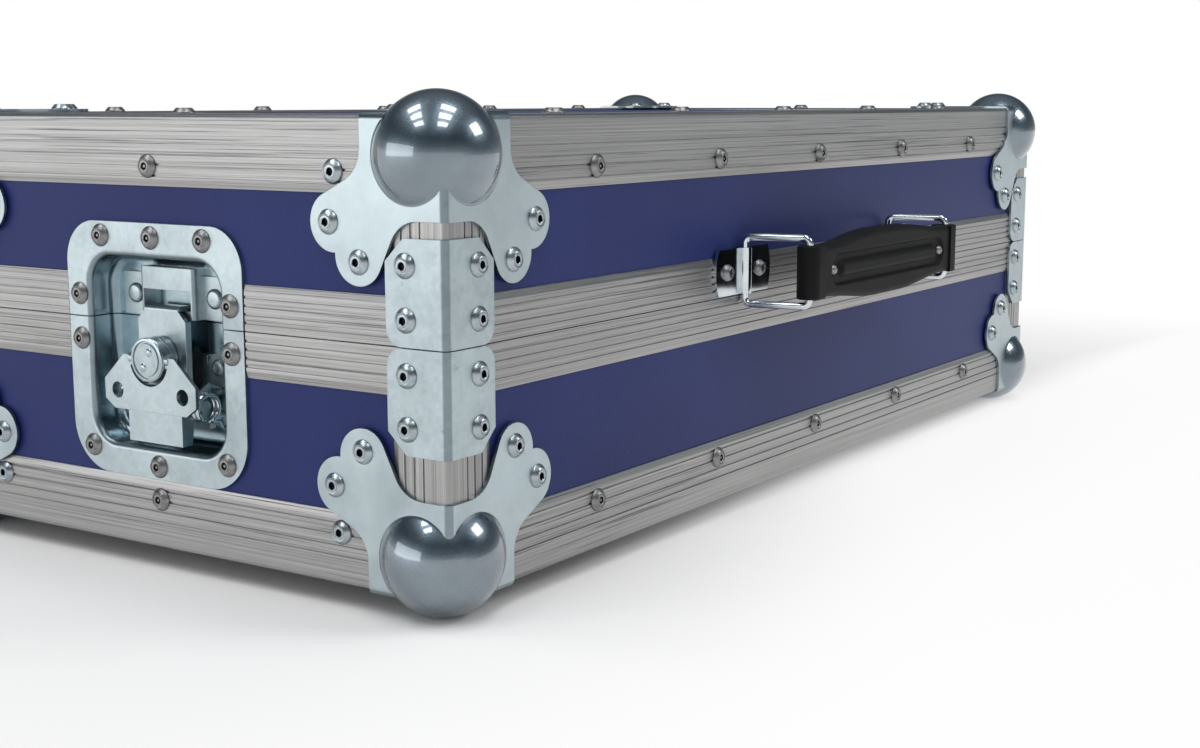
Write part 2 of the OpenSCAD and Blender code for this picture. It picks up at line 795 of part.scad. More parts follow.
// Section through the recess wall: rolled rim, wall and floor fillet
module pan_section() {
    translate([rim_r, flange_z - rim_r]) ring_quarter(rim_r - dish_t, rim_r, 90);
    translate([0, floor_z + floor_r]) square([dish_t, flange_z - floor_z - rim_r - floor_r]);
    translate([-floor_r, floor_z + floor_r]) ring_quarter(floor_r, floor_r + dish_t, -90);
}

// Pressed pan: flange, rolled rim, walls, fillet and floor, open at the split
module pan(flange, flange_r, low) {
    inner_x = recess_w / 2 - recess_r;
    translate([0, 0, flange_z - dish_t]) linear_extrude(dish_t) difference() {
        pan_outline(dish_w, flange, flange_r);
        pan_outline(recess_w + 2 * rim_r, low + rim_r, recess_r + rim_r);
        translate([-recess_w / 2 - rim_r, -half_gap]) square([recess_w + 2 * rim_r, 1]);
    }
    for (m = [0, 1]) mirror([m, 0, 0]) {
        translate([recess_w / 2, -half_gap, 0]) rotate([90, 0, 0])
            linear_extrude(low - recess_r - half_gap) pan_section();
        translate([inner_x, recess_r - low, 0]) rotate([0, 0, -90])
            rotate_extrude(angle = 90, $fn = fn_big) translate([recess_r, 0]) pan_section();
    }
    translate([inner_x, -low, 0]) rotate([90, 0, -90]) linear_extrude(2 * inner_x) pan_section();
    translate([0, 0, floor_z - dish_t]) linear_extrude(dish_t)
        pan_outline(recess_w - 2 * floor_r, low - floor_r, recess_r - floor_r);
}

module latch_dish(side) {
    color(zinc) at_latch(side) pan(dish_low, flange_low_r, recess_low);
}

module latch_dish_top(side) {
    color(zinc) at_latch(side) mirror([0, 1, 0]) pan(dish_up, flange_top_r, recess_up);
}

// A rectangle whose two upper corners are rounded
module rounded_top(w, h, r) {
    rounded(w, h, r);
    square([w, h / 2]);
}

// Bridge with a window for the hook's tip, on two feet
module keeper(side) {
    half = keeper_w / 2;
    rise = -keeper_z - floor_z;
    foot_x = half + keeper_foot;
    color(zinc) at_latch(side) difference() {
        translate([0, keeper_up, floor_z]) rotate([90, 0, 0]) linear_extrude(keeper_up - keeper_low)
            difference() {
                union() {
                    translate([-half, 0]) rounded_top(keeper_w, rise, keeper_bend);
                    translate([-foot_x, 0]) square([2 * foot_x, strap_t]);
                }
                translate([strap_t - half, -strap_t])
                    rounded_top(keeper_w - 2 * strap_t, rise, keeper_bend - strap_t);
            }
        translate([-window_w / 2, window_low, -keeper_z - 2 * strap_t])
            cube([window_w, window_high - window_low, 3 * strap_t]);
        for (m = [0, 1]) mirror([m, 0, 0]) translate([half, keeper_up - keeper_foot_cut, floor_z - strap_t])
            cube([foot_x, 2 * keeper_foot_cut, 3 * strap_t]);
    }
}

// Bracket on the dish floor: base, arched feet, two ears and the pivot pin
module pivot_bracket(side) {
    low = recess_low - floor_r - bracket_gap;
    foot_x = ear_out + bracket_foot_r;
    pin_end = ear_out + coil_gap + coil_l / 2;
    color(zinc) at_latch(side) {
        translate([0, 0, floor_z]) linear_extrude(strap_t) {
            translate([-ear_out, -low]) square([2 * ear_out, bracket_len]);
            for (m = [0, 1]) mirror([m, 0]) {
                translate([ear_in, -bracket_foot_y - bracket_neck])
                    square([foot_x + bracket_foot_r - ear_in, bracket_neck]);
                translate([foot_x, -bracket_foot_y]) circle(bracket_foot_r, $fn = fn_mid);
            }
        }
        for (m = [0, 1]) mirror([m, 0, 0])
            translate([ear_in, 0, 0]) rotate([90, 0, 90]) linear_extrude(strap_t) {
                polygon([[1 - low, floor_z], [1 + ear_len - low, floor_z],
                    [ear_r - pin_y, -pin_z], [-ear_r - pin_y, -pin_z]]);
                translate([-pin_y, -pin_z]) circle(ear_r, $fn = fn_mid);
            }
        translate([-pin_end, -pin_y, -pin_z]) rotate([0, 90, 0])
            cylinder(2 * pin_end, pin_r, pin_r, $fn = fn_mid);
    }
}

// Closed solid through rings of points, each ring turning from its outer side
module loft(rings) {
    n = len(rings[0]);
    last = len(rings) - 1;
    polyhedron(
        points = [for (ring = rings) each ring],
        faces = concat(
            [[for (k = [0:n - 1]) k]],
            [for (i = [0:last - 1], k = [0:n - 1])
                each [[i * n + k, (i + 1) * n + k, i * n + (k + 1) % n],
                    [i * n + (k + 1) % n, (i + 1) * n + k, (i + 1) * n + (k + 1) % n]]],
            [[for (k = [0:n - 1]) last * n + n - 1 - k]]));
}

// Middle of the spring's wire from its upper leg, through the coil, to its lower leg on the dish floor.
// Each point has x, y and z from the coil's start on the pin, and the angle of the wire's outer side.
coil_start = 180;
coil_path = concat(
    [[0, leg_reach, -coil_r, coil_start], [0, spring_wire, -coil_r, coil_start]],
    [for (i = [0:coil_steps * spring_turns])
        let (a = coil_start + i * 360 / coil_steps)
        [coil_pitch * i / coil_steps, coil_r * sin(a), coil_r * cos(a), a]],
    [[coil_l - spring_wire, -leg_reach / 2, -coil_r, coil_start],
        [coil_l - spring_wire, -leg_reach, floor_z + pin_z + spring_wire / 2 + eps, coil_start]]);

// Six points round the wire at one point of its path
function wire_ring(p) = [for (k = [0:5])
    let (u = spring_wire / 2 * cos(k * 60), v = spring_wire / 2 * sin(k * 60))
    [p[0] + v, p[1] + u * sin(p[3]), p[2] + u * cos(p[3])]];

// Least gap between neighbouring turns, measured on the points
coil_gap_least = min([for (i = [2:coil_steps * (spring_turns - 1) + 2])
    norm([for (j = [0:2]) coil_path[i + coil_steps][j] - coil_path[i][j]]) - spring_wire]);

// Torsion springs round both ends of the pivot pin, with their legs on the dish floor
module springs(side) {
    start = ear_out + coil_gap + spring_wire / 2;
    echo("least gap in the spring, mm", coil_gap_least);
    color(chrome) at_latch(side) for (m = [0, 1]) mirror([m, 0, 0])
        translate([start, -pin_y, -pin_z]) loft([for (p = coil_path) wire_ring(p)]);
}

// Tilting lever: a lower box with side ears on the pin, stepping back to the web that carries the barrel
module lever(side) {
    slope_t = lever_t / 2;
    color(zinc) at_latch(side) difference() {
        union() {
            translate([-web_w / 2, -web_y - eps, -web_back])
                cube([web_w, web_y - lever_t, web_back - web_front]);
            translate([-lever_w / 2, -lever_low, box_z - lever_t]) cube([lever_w, lever_low - step_y, lever_t]);
            translate([-lever_w / 2, 0, 0]) rotate([90, 0, 90]) linear_extrude(lever_w) polygon([
                [-step_y - slope_t, box_z], [-step_y, box_z], [-web_y, -web_front], [-web_y, -web_back],
                [-web_y - slope_t, -web_back], [-step_y - slope_t, box_z - lever_t]]);
            for (m = [0, 1]) mirror([m, 0, 0]) translate([lever_w / 2 - lever_t, 0, 0])
                rotate([90, 0, 90]) linear_extrude(lever_t) {
                    polygon([[-lever_low, box_z], [-step_y, box_z], [-web_y, -web_front], [-web_y, -web_back],
                        [lever_ear_r - pin_y, -pin_z], [-pin_y - lever_ear_r, -pin_z],
                        [-lever_low, box_z - box_side]]);
                    translate([-pin_y, -pin_z]) circle(lever_ear_r, $fn = fn_mid);
                }
        }
        translate([-lever_w, -pin_y, -pin_z]) rotate([0, 90, 0])
            cylinder(2 * lever_w, pin_r + run_gap, pin_r + run_gap, $fn = fn_mid);
        translate([0, -turn_y, -2 * web_back])
            cylinder(2 * web_back, shaft_r + run_gap, shaft_r + run_gap, $fn = fn_mid);
    }
}

// Draw hook: a shallow channel over the lever's web, with its tip bent into the keeper's window
module hook(side) {
    shoulder = 0.5;
    tip_low = hook_up - tip_t;
    tip_end = keeper_z + strap_t + tip_hold;
    wall_back = keeper_z - side_play;
    color(zinc) at_latch(side) {
        difference() {
            union() {
                translate([0, 0, -hook_back]) linear_extrude(hook_t) polygon([
                    [-hook_w / 2, -hook_low], [hook_w / 2, -hook_low], [hook_w / 2, shoulder],
                    [tip_w / 2, tip_low], [-tip_w / 2, tip_low], [-hook_w / 2, shoulder]]);
                for (m = [0, 1]) mirror([m, 0, 0]) translate([hook_w / 2 - hook_wall, -hook_low, -wall_back])
                    cube([hook_wall, hook_low + shoulder, wall_back - hook_z]);
            }
            translate([0, -turn_y - cam_off, -hook_back - hook_t]) linear_extrude(3 * hook_t) {
                for (x = [-cam_off, cam_off]) translate([x, 0]) circle(cam_r + cam_room, $fn = fn_mid);
                translate([-cam_off, -cam_r - cam_room]) square([2 * cam_off, 2 * (cam_r + cam_room)]);
            }
        }
        translate([-tip_w / 2, 0, 0]) rotate([90, 0, 90]) linear_extrude(tip_w) {
            translate([tip_low, -hook_z - tip_t]) ring_quarter(0, tip_t, 0);
            translate([tip_low, -tip_end]) square([tip_t, tip_end - hook_z - tip_t]);
        }
    }
}

// Turning barrel: grooved head with two dimples, the cam behind it, and the shaft riveted over at the back
module barrel(side) {
    head_z = 0.3 - hook_z;
    tail_z = -web_back - 0.3;
    head_t = 1.4;
    edge = 0.6;
    ring = barrel_r - 2.2;
    groove = 0.4;
    color(chrome) at_latch(side) translate([0, -turn_y, 0]) {
        difference() {
            rotate_extrude($fn = fn_big) polygon([
                [0, head_z], [barrel_r, head_z], [barrel_r, -edge], [barrel_r - groove, -groove],
                [barrel_r - groove, groove], [barrel_r, edge], [barrel_r, barrel_out - edge],
                [barrel_r - edge, barrel_out], [ring + groove, barrel_out], [ring, barrel_out - groove],
                [ring - groove, barrel_out], [0, barrel_out]]);
            for (a = [60, 240]) rotate(a) translate([dimple_at, 0, barrel_out - groove])
                cylinder(2 * groove, dimple_r - groove, dimple_r + groove, $fn = fn_mid);
        }
        translate([0, -cam_off, -hook_back + 0.1]) cylinder(hook_t + 0.3, cam_r, cam_r, $fn = fn_mid);
        translate([0, 0, tail_z - 1]) cylinder(head_z - tail_z + 2, shaft_r, shaft_r, $fn = fn_mid);
        translate([0, 0, tail_z - head_t]) cylinder(head_t, shaft_head_r - groove, shaft_head_r, $fn = fn_mid);
        translate([-wing_cut_r - groove, 0, wing_pin_z]) rotate([0, 90, 0])
            cylinder(2 * (wing_cut_r + groove), wing_pin_r, wing_pin_r, $fn = fn_small);
    }
}

// Butterfly wing: a plate with a round cut for the barrel, two finger holes and two ears on the pin
module wing(side) {
    ear_near = barrel_r + 0.3;
    ear_wide = wing_cut_r + 0.4 - ear_near;
    root = 2;
    color(zinc) at_latch(side) translate([0, -turn_y, 0]) difference() {
        union() {
            translate([0, 0, wing_out - wing_t]) linear_extrude(wing_t) difference() {
                polygon([[-wing_top_x, wing_top_y], [-ear_near, wing_top_y], [-ear_near, -root],
                    [ear_near, -root], [ear_near, wing_top_y], [wing_top_x, wing_top_y],
                    [wing_x, -wing_side_up], [wing_x, -wing_side_low], [wing_x - wing_cut, -wing_low],
                    [wing_cut - wing_x, -wing_low], [-wing_x, -wing_side_low], [-wing_x, -wing_side_up]]);
                circle(wing_cut_r, $fn = fn_mid);
                for (x = [-wing_hole_x, wing_hole_x]) translate([x, -wing_hole_y])
                    circle(wing_hole_r, $fn = fn_mid);
            }
            for (m = [0, 1]) mirror([m, 0, 0]) translate([ear_near, 0, 0]) rotate([90, 0, 90])
                linear_extrude(ear_wide) {
                    translate([0, wing_pin_z]) circle(wing_ear_r, $fn = fn_mid);
                    translate([-wing_ear_r, wing_pin_z])
                        square([wing_ear_r + wing_top_y, wing_out - wing_pin_z]);
                }
        }
        translate([-wing_x, 0, wing_pin_z]) rotate([0, 90, 0])
            cylinder(2 * wing_x, wing_pin_r + run_gap, wing_pin_r + run_gap, $fn = fn_small);
    }
}

// A plain domed rivet, for the feet inside the recess
module plain_rivet(r, h) {
    rotate_extrude($fn = fn_small)
        polygon([[0, 0], [r, 0], [r, 0.3 * h], [0.7 * r, 0.85 * h], [0.3 * r, h], [0, h]]);
}

// Rivets of one latch: five on each half of the flange, two on the feet inside
module latch_rivets_low(side) {
    at_latch(side) {
        for (p = [[dish_w / 2 - side_rivet_x, -side_rivet_y],
                [dish_w / 2 - low_rivet_x, low_rivet_y - dish_low], [0, foot_rivet_y - dish_low]], m = [0, 1])
            if (p.x > 0 || m == 0) mirror([m, 0, 0]) translate([p.x, p.y, flange_z]) rivet(rivet_r, rivet_h);
        for (m = [0, 1]) mirror([m, 0, 0])
            translate([ear_out + bracket_foot_r, -bracket_foot_y, foot_plate_z])
            plain_rivet(foot_rivet_r, foot_rivet_r / 2);
    }
}

module latch_rivets_up(side) {
    at_latch(side) {
        for (p = [[dish_w / 2 - side_rivet_x, side_rivet_y],
                [top_rivet_x, dish_up - top_rivet_y], [0, dish_up - top_rivet_y]], m = [0, 1])
            if (p.x > 0 || m == 0) mirror([m, 0, 0]) translate([p.x, p.y, flange_z]) rivet(rivet_r, rivet_h);
        foot_y = (keeper_up + keeper_low - keeper_foot_cut) / 2;
        for (m = [0, 1]) mirror([m, 0, 0])
            translate([(keeper_w + keeper_foot) / 2, foot_y, foot_plate_z])
            plain_rivet(inner_rivet_r, inner_rivet_r / 2);
    }
}

// Handle: x along, y up, z out of the case, from the middle of the handle

module at_handle() {
    on_face(0, 0, handle_z) children();
}

// Bracket plate with bowed ends and a channel that holds the loop's inner leg
module handle_bracket(s) {
    bore = wire_r + run_gap;
    root = bore + ear_t + 0.6;
    color(zinc) at_handle() translate([s * handle_span / 2, 0, 0]) difference() {
        union() {
            linear_extrude(ear_t) for (m = [0, 1]) mirror([m, 0]) intersection() {
                translate([ear_bow - ear_w / 2, 0]) circle(ear_bow, $fn = fn_big);
                translate([-ear_w / 2, -ear_h / 2]) square([ear_w / 2, ear_h]);
            }
            translate([0, ear_h / 2, wire_z]) rotate([90, 0, 0])
                cylinder(ear_h, bore + ear_t, bore + ear_t, $fn = fn_mid);
            translate([-root, -ear_h / 2, 0]) cube([2 * root, ear_h, 1.25 * ear_t]);
        }
        translate([0, ear_h, wire_z]) rotate([90, 0, 0]) cylinder(2 * ear_h, bore, bore, $fn = fn_mid);
        translate([-bore, -ear_h, -1]) cube([2 * bore, 2 * ear_h, wire_z + 1]);
        translate([-ear_w, -ear_w, -2 * wire_z]) cube([2 * ear_w, 2 * ear_w, 2 * wire_z]);
    }
}

// Closed rectangular wire loop: its inner leg in the bracket, its outer leg in the grip
module handle_loop(s) {
    leg = loop_half - loop_bend;
    bar = loop_l - 2 * loop_bend;
    color(chrome) at_handle() translate([s * handle_span / 2, 0, wire_z])
        rotate([0, loop_lean - 90, 0]) {
            for (x = [0, loop_l]) translate([x, leg, 0]) rotate([90, 0, 0])
                cylinder(2 * leg, wire_r, wire_r, $fn = fn_small);
            for (y = [-loop_half, loop_half]) translate([loop_bend, y, 0]) rotate([0, 90, 0])
                cylinder(bar, wire_r, wire_r, $fn = fn_small);
            for (x = [0, 1], y = [0, 1]) translate([x ? loop_l - loop_bend : loop_bend, y ? leg : -leg, 0])
                rotate([0, 0, x ? (y ? 0 : -90) : (y ? 90 : 180)])
                rotate_extrude(angle = 90, $fn = fn_big) translate([loop_bend, 0])
                    circle(wire_r, $fn = fn_small);
        }
}

// Grip: x along, y up, z outward, from the middle between its pivots
function ramp(t) = let (c = max(0, min(1, t))) c * c * (3 - 2 * c);
function grip_h(x) = grip_end_h
    + (grip_mid_h - grip_end_h) * ramp((handle_span / 2 - 1.7 * grip_end_r - abs(x)) / grip_ramp);
function grip_back(x) = grip_back_end + (grip_back_mid - grip_back_end)
    * ramp((handle_span / 2 - 1.3 * grip_end_r - abs(x)) / (0.75 * grip_ramp));

// Rounded section of the grip at x, turned round from its outer lower corner
function grip_ring(x) = let (h = grip_h(x), b = grip_back(x), r = grip_edge) [
    for (q = [[h - r, grip_face - r, 0], [r - h, grip_face - r, 90], [r - h, r - b, 180], [h - r, r - b, 270]],
            k = [0:4])
        let (a = q[2] + k * 22.5)
        [x, q[0] + r * cos(a), q[1] + r * sin(a)]];

module grip_body() {
    stations = 28;
    half = handle_span / 2 - grip_end_r / 2;
    loft([for (i = [0:stations]) grip_ring(-half + 2 * half * i / stations)]);
}

module handle_grip() {
    trough_x = handle_span / 2 - trough_end - trough_r;
    rib_x = trough_x - trough_r;
    pin_x = trough_x + trough_r / 2;
    band = grip_end_r - 0.5;
    color(grip_black) at_handle() translate([grip_shift, 0, grip_out]) difference() {
        union() {
            difference() {
                grip_body();
                translate([0, 0, grip_face - trough_d]) linear_extrude(trough_d + 1) {
                    for (x = [-trough_x, trough_x]) translate([x, 0]) circle(trough_r, $fn = fn_mid);
                    translate([-trough_x, -trough_r]) square([2 * trough_x, 2 * trough_r]);
                }
            }
            intersection() {
                translate([0, 0, grip_face + rib_up - rib_r]) {
                    translate([-rib_x, 0, 0]) rotate([0, 90, 0])
                        cylinder(2 * rib_x, rib_r, rib_r, $fn = fn_mid);
                    for (x = [-rib_x, rib_x]) translate([x, 0, 0]) sphere(rib_r, $fn = fn_mid);
                }
                translate([-rib_x - rib_r, -rib_r, 0])
                    cube([2 * (rib_x + rib_r), 2 * rib_r, grip_face + rib_r]);
            }
            for (m = [0, 1]) mirror([m, 0, 0]) translate([handle_span / 2, 0, 0]) {
                translate([0, grip_end_h, 0]) rotate([90, 0, 0])
                    cylinder(2 * grip_end_h, grip_end_r, grip_end_r, $fn = fn_mid);
                translate([-band, -grip_end_h, -grip_end_r]) cube([band, 2 * grip_end_h, 2 * grip_end_r]);
            }
        }
        for (x = [-handle_span / 2, handle_span / 2]) translate([x, grip_mid_h, 0]) rotate([90, 0, 0])
            cylinder(2 * grip_mid_h, wire_r + run_gap, wire_r + run_gap, $fn = fn_mid);
    }
    color(rivet_steel) at_handle() translate([grip_shift, 0, grip_out + grip_face - trough_d])
        for (x = [-pin_x, pin_x]) translate([x, 0, 0]) rivet(grip_rivet_r, rivet_h);
}

module handle_rivets() {
    at_handle() for (s = [-1, 1], x = [-ear_rivet, ear_rivet])
        translate([s * handle_span / 2 + x, 0, ear_t]) rivet(ear_rivet_r, rivet_h);
}

// Assembled nodes

module base_rivets() {
    color(rivet_steel) {
        edging_rivets();
        corner_rivets(base_h);
        for (i = end_sides) latch_rivets_low(i);
    }
}

module lid_rivets() {
    color(rivet_steel) {
        as_lid() {
            edging_rivets();
            corner_rivets(lid_h);
        }
        for (i = end_sides) latch_rivets_up(i);
        handle_rivets();
    }
}

floor_panel();  // base_floor
wall_panel(0, base_h, recess_low);  // base_wall_front
wall_panel(1, base_h, recess_low);  // base_wall_right
wall_panel(2, base_h, recess_low);  // base_wall_back
wall_panel(3, base_h, recess_low);  // base_wall_left
edge_bar(0);  // base_edge_front
edge_bar(1);  // base_edge_right
edge_bar(2);  // base_edge_back
edge_bar(3);  // base_edge_left
posts(base_h);  // base_posts
closing_ring(base_h, false);  // base_closing
braces(base_h);  // base_braces
ball_at(false, false, true);  // base_ball_front_left
ball_at(true, false, true);  // base_ball_front_right
ball_at(true, true, true);  // base_ball_back_right
ball_at(false, true, true);  // base_ball_back_left
base_rivets();
lining(base_h, recess_low);  // base_lining
latch_dish(3);  // latch_left_dish
pivot_bracket(3);  // latch_left_bracket
springs(3);  // latch_left_spring
lever(3);  // latch_left_lever
hook(3);  // latch_left_hook
barrel(3);  // latch_left_barrel
wing(3);  // latch_left_wing
latch_dish(1);  // latch_right_dish
pivot_bracket(1);  // latch_right_bracket
springs(1);  // latch_right_spring
lever(1);  // latch_right_lever
hook(1);  // latch_right_hook
barrel(1);  // latch_right_barrel
wing(1);  // latch_right_wing
as_lid() floor_panel();  // lid_top
as_lid() wall_panel(0, lid_h, recess_up);  // lid_wall_front
as_lid() wall_panel(1, lid_h, recess_up);  // lid_wall_right
as_lid() wall_panel(2, lid_h, recess_up);  // lid_wall_back
as_lid() wall_panel(3, lid_h, recess_up);  // lid_wall_left
as_lid() edge_bar(0);  // lid_edge_front
as_lid() edge_bar(1);  // lid_edge_right
as_lid() edge_bar(2);  // lid_edge_back
as_lid() edge_bar(3);  // lid_edge_left
as_lid() posts(lid_h);  // lid_posts
as_lid() closing_ring(lid_h, true);  // lid_closing
as_lid() braces(lid_h);  // lid_braces
as_lid() ball_at(false, false, false);  // lid_ball_front_left
as_lid() ball_at(true, false, false);  // lid_ball_front_right
as_lid() ball_at(true, true, false);  // lid_ball_back_right
as_lid() ball_at(false, true, false);  // lid_ball_back_left
lid_rivets();
as_lid() lining(lid_h, recess_up);  // lid_lining
latch_dish_top(3);  // latch_left_cap
keeper(3);  // latch_left_keeper
latch_dish_top(1);  // latch_right_cap
keeper(1);  // latch_right_keeper
handle_bracket(-1);  // handle_bracket_left
handle_bracket(1);  // handle_bracket_right
handle_loop(-1);  // handle_loop_left
handle_loop(1);  // handle_loop_right
handle_grip();
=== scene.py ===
import bpy, bmesh, math
from mathutils import Vector, Matrix


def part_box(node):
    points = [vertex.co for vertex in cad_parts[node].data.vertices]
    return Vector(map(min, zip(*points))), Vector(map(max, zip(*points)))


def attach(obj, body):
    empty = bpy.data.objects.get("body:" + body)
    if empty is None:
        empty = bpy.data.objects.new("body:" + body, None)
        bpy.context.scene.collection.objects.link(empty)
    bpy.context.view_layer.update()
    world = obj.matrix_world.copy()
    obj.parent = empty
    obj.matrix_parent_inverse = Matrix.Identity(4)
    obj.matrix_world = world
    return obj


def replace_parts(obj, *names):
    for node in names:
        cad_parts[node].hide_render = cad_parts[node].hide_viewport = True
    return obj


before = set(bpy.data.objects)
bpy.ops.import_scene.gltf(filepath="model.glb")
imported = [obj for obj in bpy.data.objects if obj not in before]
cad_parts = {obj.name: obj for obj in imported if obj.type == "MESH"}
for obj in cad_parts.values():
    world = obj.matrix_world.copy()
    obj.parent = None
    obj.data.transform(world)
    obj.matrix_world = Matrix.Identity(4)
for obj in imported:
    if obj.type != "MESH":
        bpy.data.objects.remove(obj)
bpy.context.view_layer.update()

# the case, in metres, as built: body over its edging, split, middle of the body in y
case = {"long": 0.625, "wide": 0.315, "high": 0.186, "foot": 0.0094, "split": 0.1079, "middleY": 0.01475}
caseMiddle = (0, case["middleY"], case["foot"] + case["high"] / 2)

# camera: fitted to the edges of the case
shot = {"place": (-0.80562, -0.53532, 0.2001), "yaw": 33.309, "pitch": 9.1065, "roll": -0.056,
        "lens": 50.992, "sensor": 36, "near": 0.01}


def addObject(name, data):
    obj = bpy.data.objects.new(name, data)
    bpy.context.scene.collection.objects.link(obj)
    return obj


def aimCamera(c):
    yaw, pitch = math.radians(c["yaw"]), math.radians(c["pitch"])
    ahead = Vector((math.cos(yaw) * math.cos(pitch), math.sin(yaw) * math.cos(pitch), -math.sin(pitch)))
    data = bpy.data.cameras.new("camera")
    data.sensor_width = c["sensor"]
    data.lens = c["lens"]
    data.clip_start = c["near"]
    cam = addObject("camera", data)
    turn = ahead.to_track_quat("-Z", "Y").to_matrix().to_4x4()
    roll = Matrix.Rotation(math.radians(c["roll"]), 4, "Z")
    cam.matrix_world = Matrix.Translation(c["place"]) @ turn @ roll
    bpy.context.scene.camera = cam


aimCamera(shot)
print("camera set")

# materials


def newMaterial(name):
    mat = bpy.data.materials.new(name)
    mat.use_nodes = True
    tree = mat.node_tree
    tree.nodes.clear()
    out = tree.nodes.new("ShaderNodeOutputMaterial")
    skin = tree.nodes.new("ShaderNodeBsdfPrincipled")
    tree.links.new(skin.outputs[0], out.inputs[0])
    return mat, tree, skin


# links what comes from another node, and sets the rest on the socket itself
def feed(tree, node, sockets):
    for key, value in sockets.items():
        if isinstance(value, bpy.types.NodeSocket):
            tree.links.new(value, node.inputs[key])
        else:
            node.inputs[key].default_value = value


def addNode(tree, kind, sockets=None, **props):
    n = tree.nodes.new("ShaderNode" + kind)
    for key, value in props.items():
        setattr(n, key, value)
    feed(tree, n, sockets or {})
    return n


def mathOf(tree, how, a, b=0.0):
    return addNode(tree, "Math", {0: a, 1: b}, operation=how).outputs[0]


def scaled(tree, value, by, more=None):
    product = mathOf(tree, "MULTIPLY", value, by)
    return product if more is None else mathOf(tree, "ADD", product, more)


def vectorMath(tree, how, a, b=None):
    sockets = {0: a} if b is None else {0: a, 1: b}
    return addNode(tree, "VectorMath", sockets, operation=how).outputs


# 0 at start, top at end
def shareOf(tree, value, start, end, top=1.0, curve="LINEAR"):
    sockets = {0: value, 1: start, 2: end, 3: 0.0, 4: top}
    return addNode(tree, "MapRange", sockets, interpolation_type=curve).outputs[0]


def rampOf(tree, value, stops):
    n = addNode(tree, "ValToRGB", {0: value})
    while len(n.color_ramp.elements) < len(stops):
        n.color_ramp.elements.new(0.5)
    for stop, (place, tone) in zip(n.color_ramp.elements, stops):
        stop.position = place
        stop.color = (*tone, 1)
    return n.outputs[0]


# a look's own tones at its stops
def tonesOf(tree, value, look):
    words = ("dark", "pale", "bright")
    return rampOf(tree, value, [(stop, look[word]) for stop, word in zip(look["stops"], words)])


# two greys, from one place on the value to another
def greysOf(tree, value, start, low, end, high=1.0):
    return rampOf(tree, value, [(start, (low, low, low)), (end, (high, high, high))])


def noiseOf(tree, place, scale, detail=3.0, rough=0.5):
    sockets = {"Vector": place, "Scale": scale, "Detail": detail, "Roughness": rough}
    return addNode(tree, "TexNoise", sockets).outputs["Fac"]


def coordinates(tree, kind="Object"):
    return addNode(tree, "TexCoord").outputs[kind]


def stretched(tree, place, scales):
    return addNode(tree, "Mapping", {"Vector": place, "Scale": scales}).outputs[0]


def partsOf(tree, place):
    return addNode(tree, "SeparateXYZ", {0: place}).outputs


def blendColor(tree, how, amount, a, b):
    return addNode(tree, "Mix", {0: amount, 6: a, 7: b}, data_type="RGBA", blend_type=how).outputs[2]


def roughOf(tree, value, look):
    return scaled(tree, value, look["roughSpread"], look["roughness"])


# bump, with the edges under it rounded where a look gives a size for them
def bumpOf(tree, height, look, edge=None):
    sockets = {"Height": height, "Strength": look["bump"], "Distance": look["bumpDeep"]}
    edge = edge or look.get("edge")
    if edge:
        sockets["Normal"] = addNode(tree, "Bevel", {"Radius": edge}, samples=4).outputs[0]
    return addNode(tree, "Bump", sockets).outputs[0]


# 1 on bends and round parts, 0 on flat faces square to the axes
def bentShare(tree, low=0.93, high=0.985):
    parts = partsOf(tree, vectorMath(tree, "ABSOLUTE", coordinates(tree, "Normal"))[0])
    most = mathOf(tree, "MAXIMUM", parts[0], mathOf(tree, "MAXIMUM", parts[1], parts[2]))
    return shareOf(tree, most, high, low)


# brushed extrusions, streaked along x, y or z, or along each side of a ring
def drawnAluminium(name, along, look):
    mat, tree, skin = newMaterial(name)
    place = coordinates(tree)

    def alongDraw(long, across):
        if along != "ring":
            return stretched(tree, place, [long if axis == along else across for axis in "xyz"])
        # front and back run in x, the ends in y
        facing = mathOf(tree, "ABSOLUTE", partsOf(tree, coordinates(tree, "Normal"))[0])
        ways = {0: mathOf(tree, "GREATER_THAN", facing, 0.5),
                4: stretched(tree, place, (long, across, across)),
                5: stretched(tree, place, (across, long, across))}
        return addNode(tree, "Mix", ways, data_type="VECTOR").outputs[1]

    def drawn(long, across, detail=3.0, rough=0.5):
        return noiseOf(tree, alongDraw(long, across), 1.0, detail, rough)

    streak = drawn(*look["streak"])
    clouded = greysOf(tree, noiseOf(tree, place, *look["cloud"]), *look["cloudGreys"])
    tone = blendColor(tree, "MULTIPLY", look["cloudDepth"], tonesOf(tree, streak, look), clouded)
    worn = greysOf(tree, drawn(*look["wear"]), *look["wearGreys"])
    scratch = blendColor(tree, "MULTIPLY", 1.0, worn, greysOf(tree, drawn(*look["line"]), *look["lineGreys"]))
    depth = addNode(tree, "SeparateColor", {0: scratch}).outputs[0]
    tone = blendColor(tree, "MULTIPLY", scaled(tree, depth, look["lineDepth"]), tone, look["lineTone"])
    height = mathOf(tree, "SUBTRACT", streak, scaled(tree, depth, look["lineSunk"]))
    feed(tree, skin, {"Base Color": tone, "Metallic": 1.0, "Roughness": roughOf(tree, streak, look),
                      "Normal": bumpOf(tree, height, look)})
    return mat


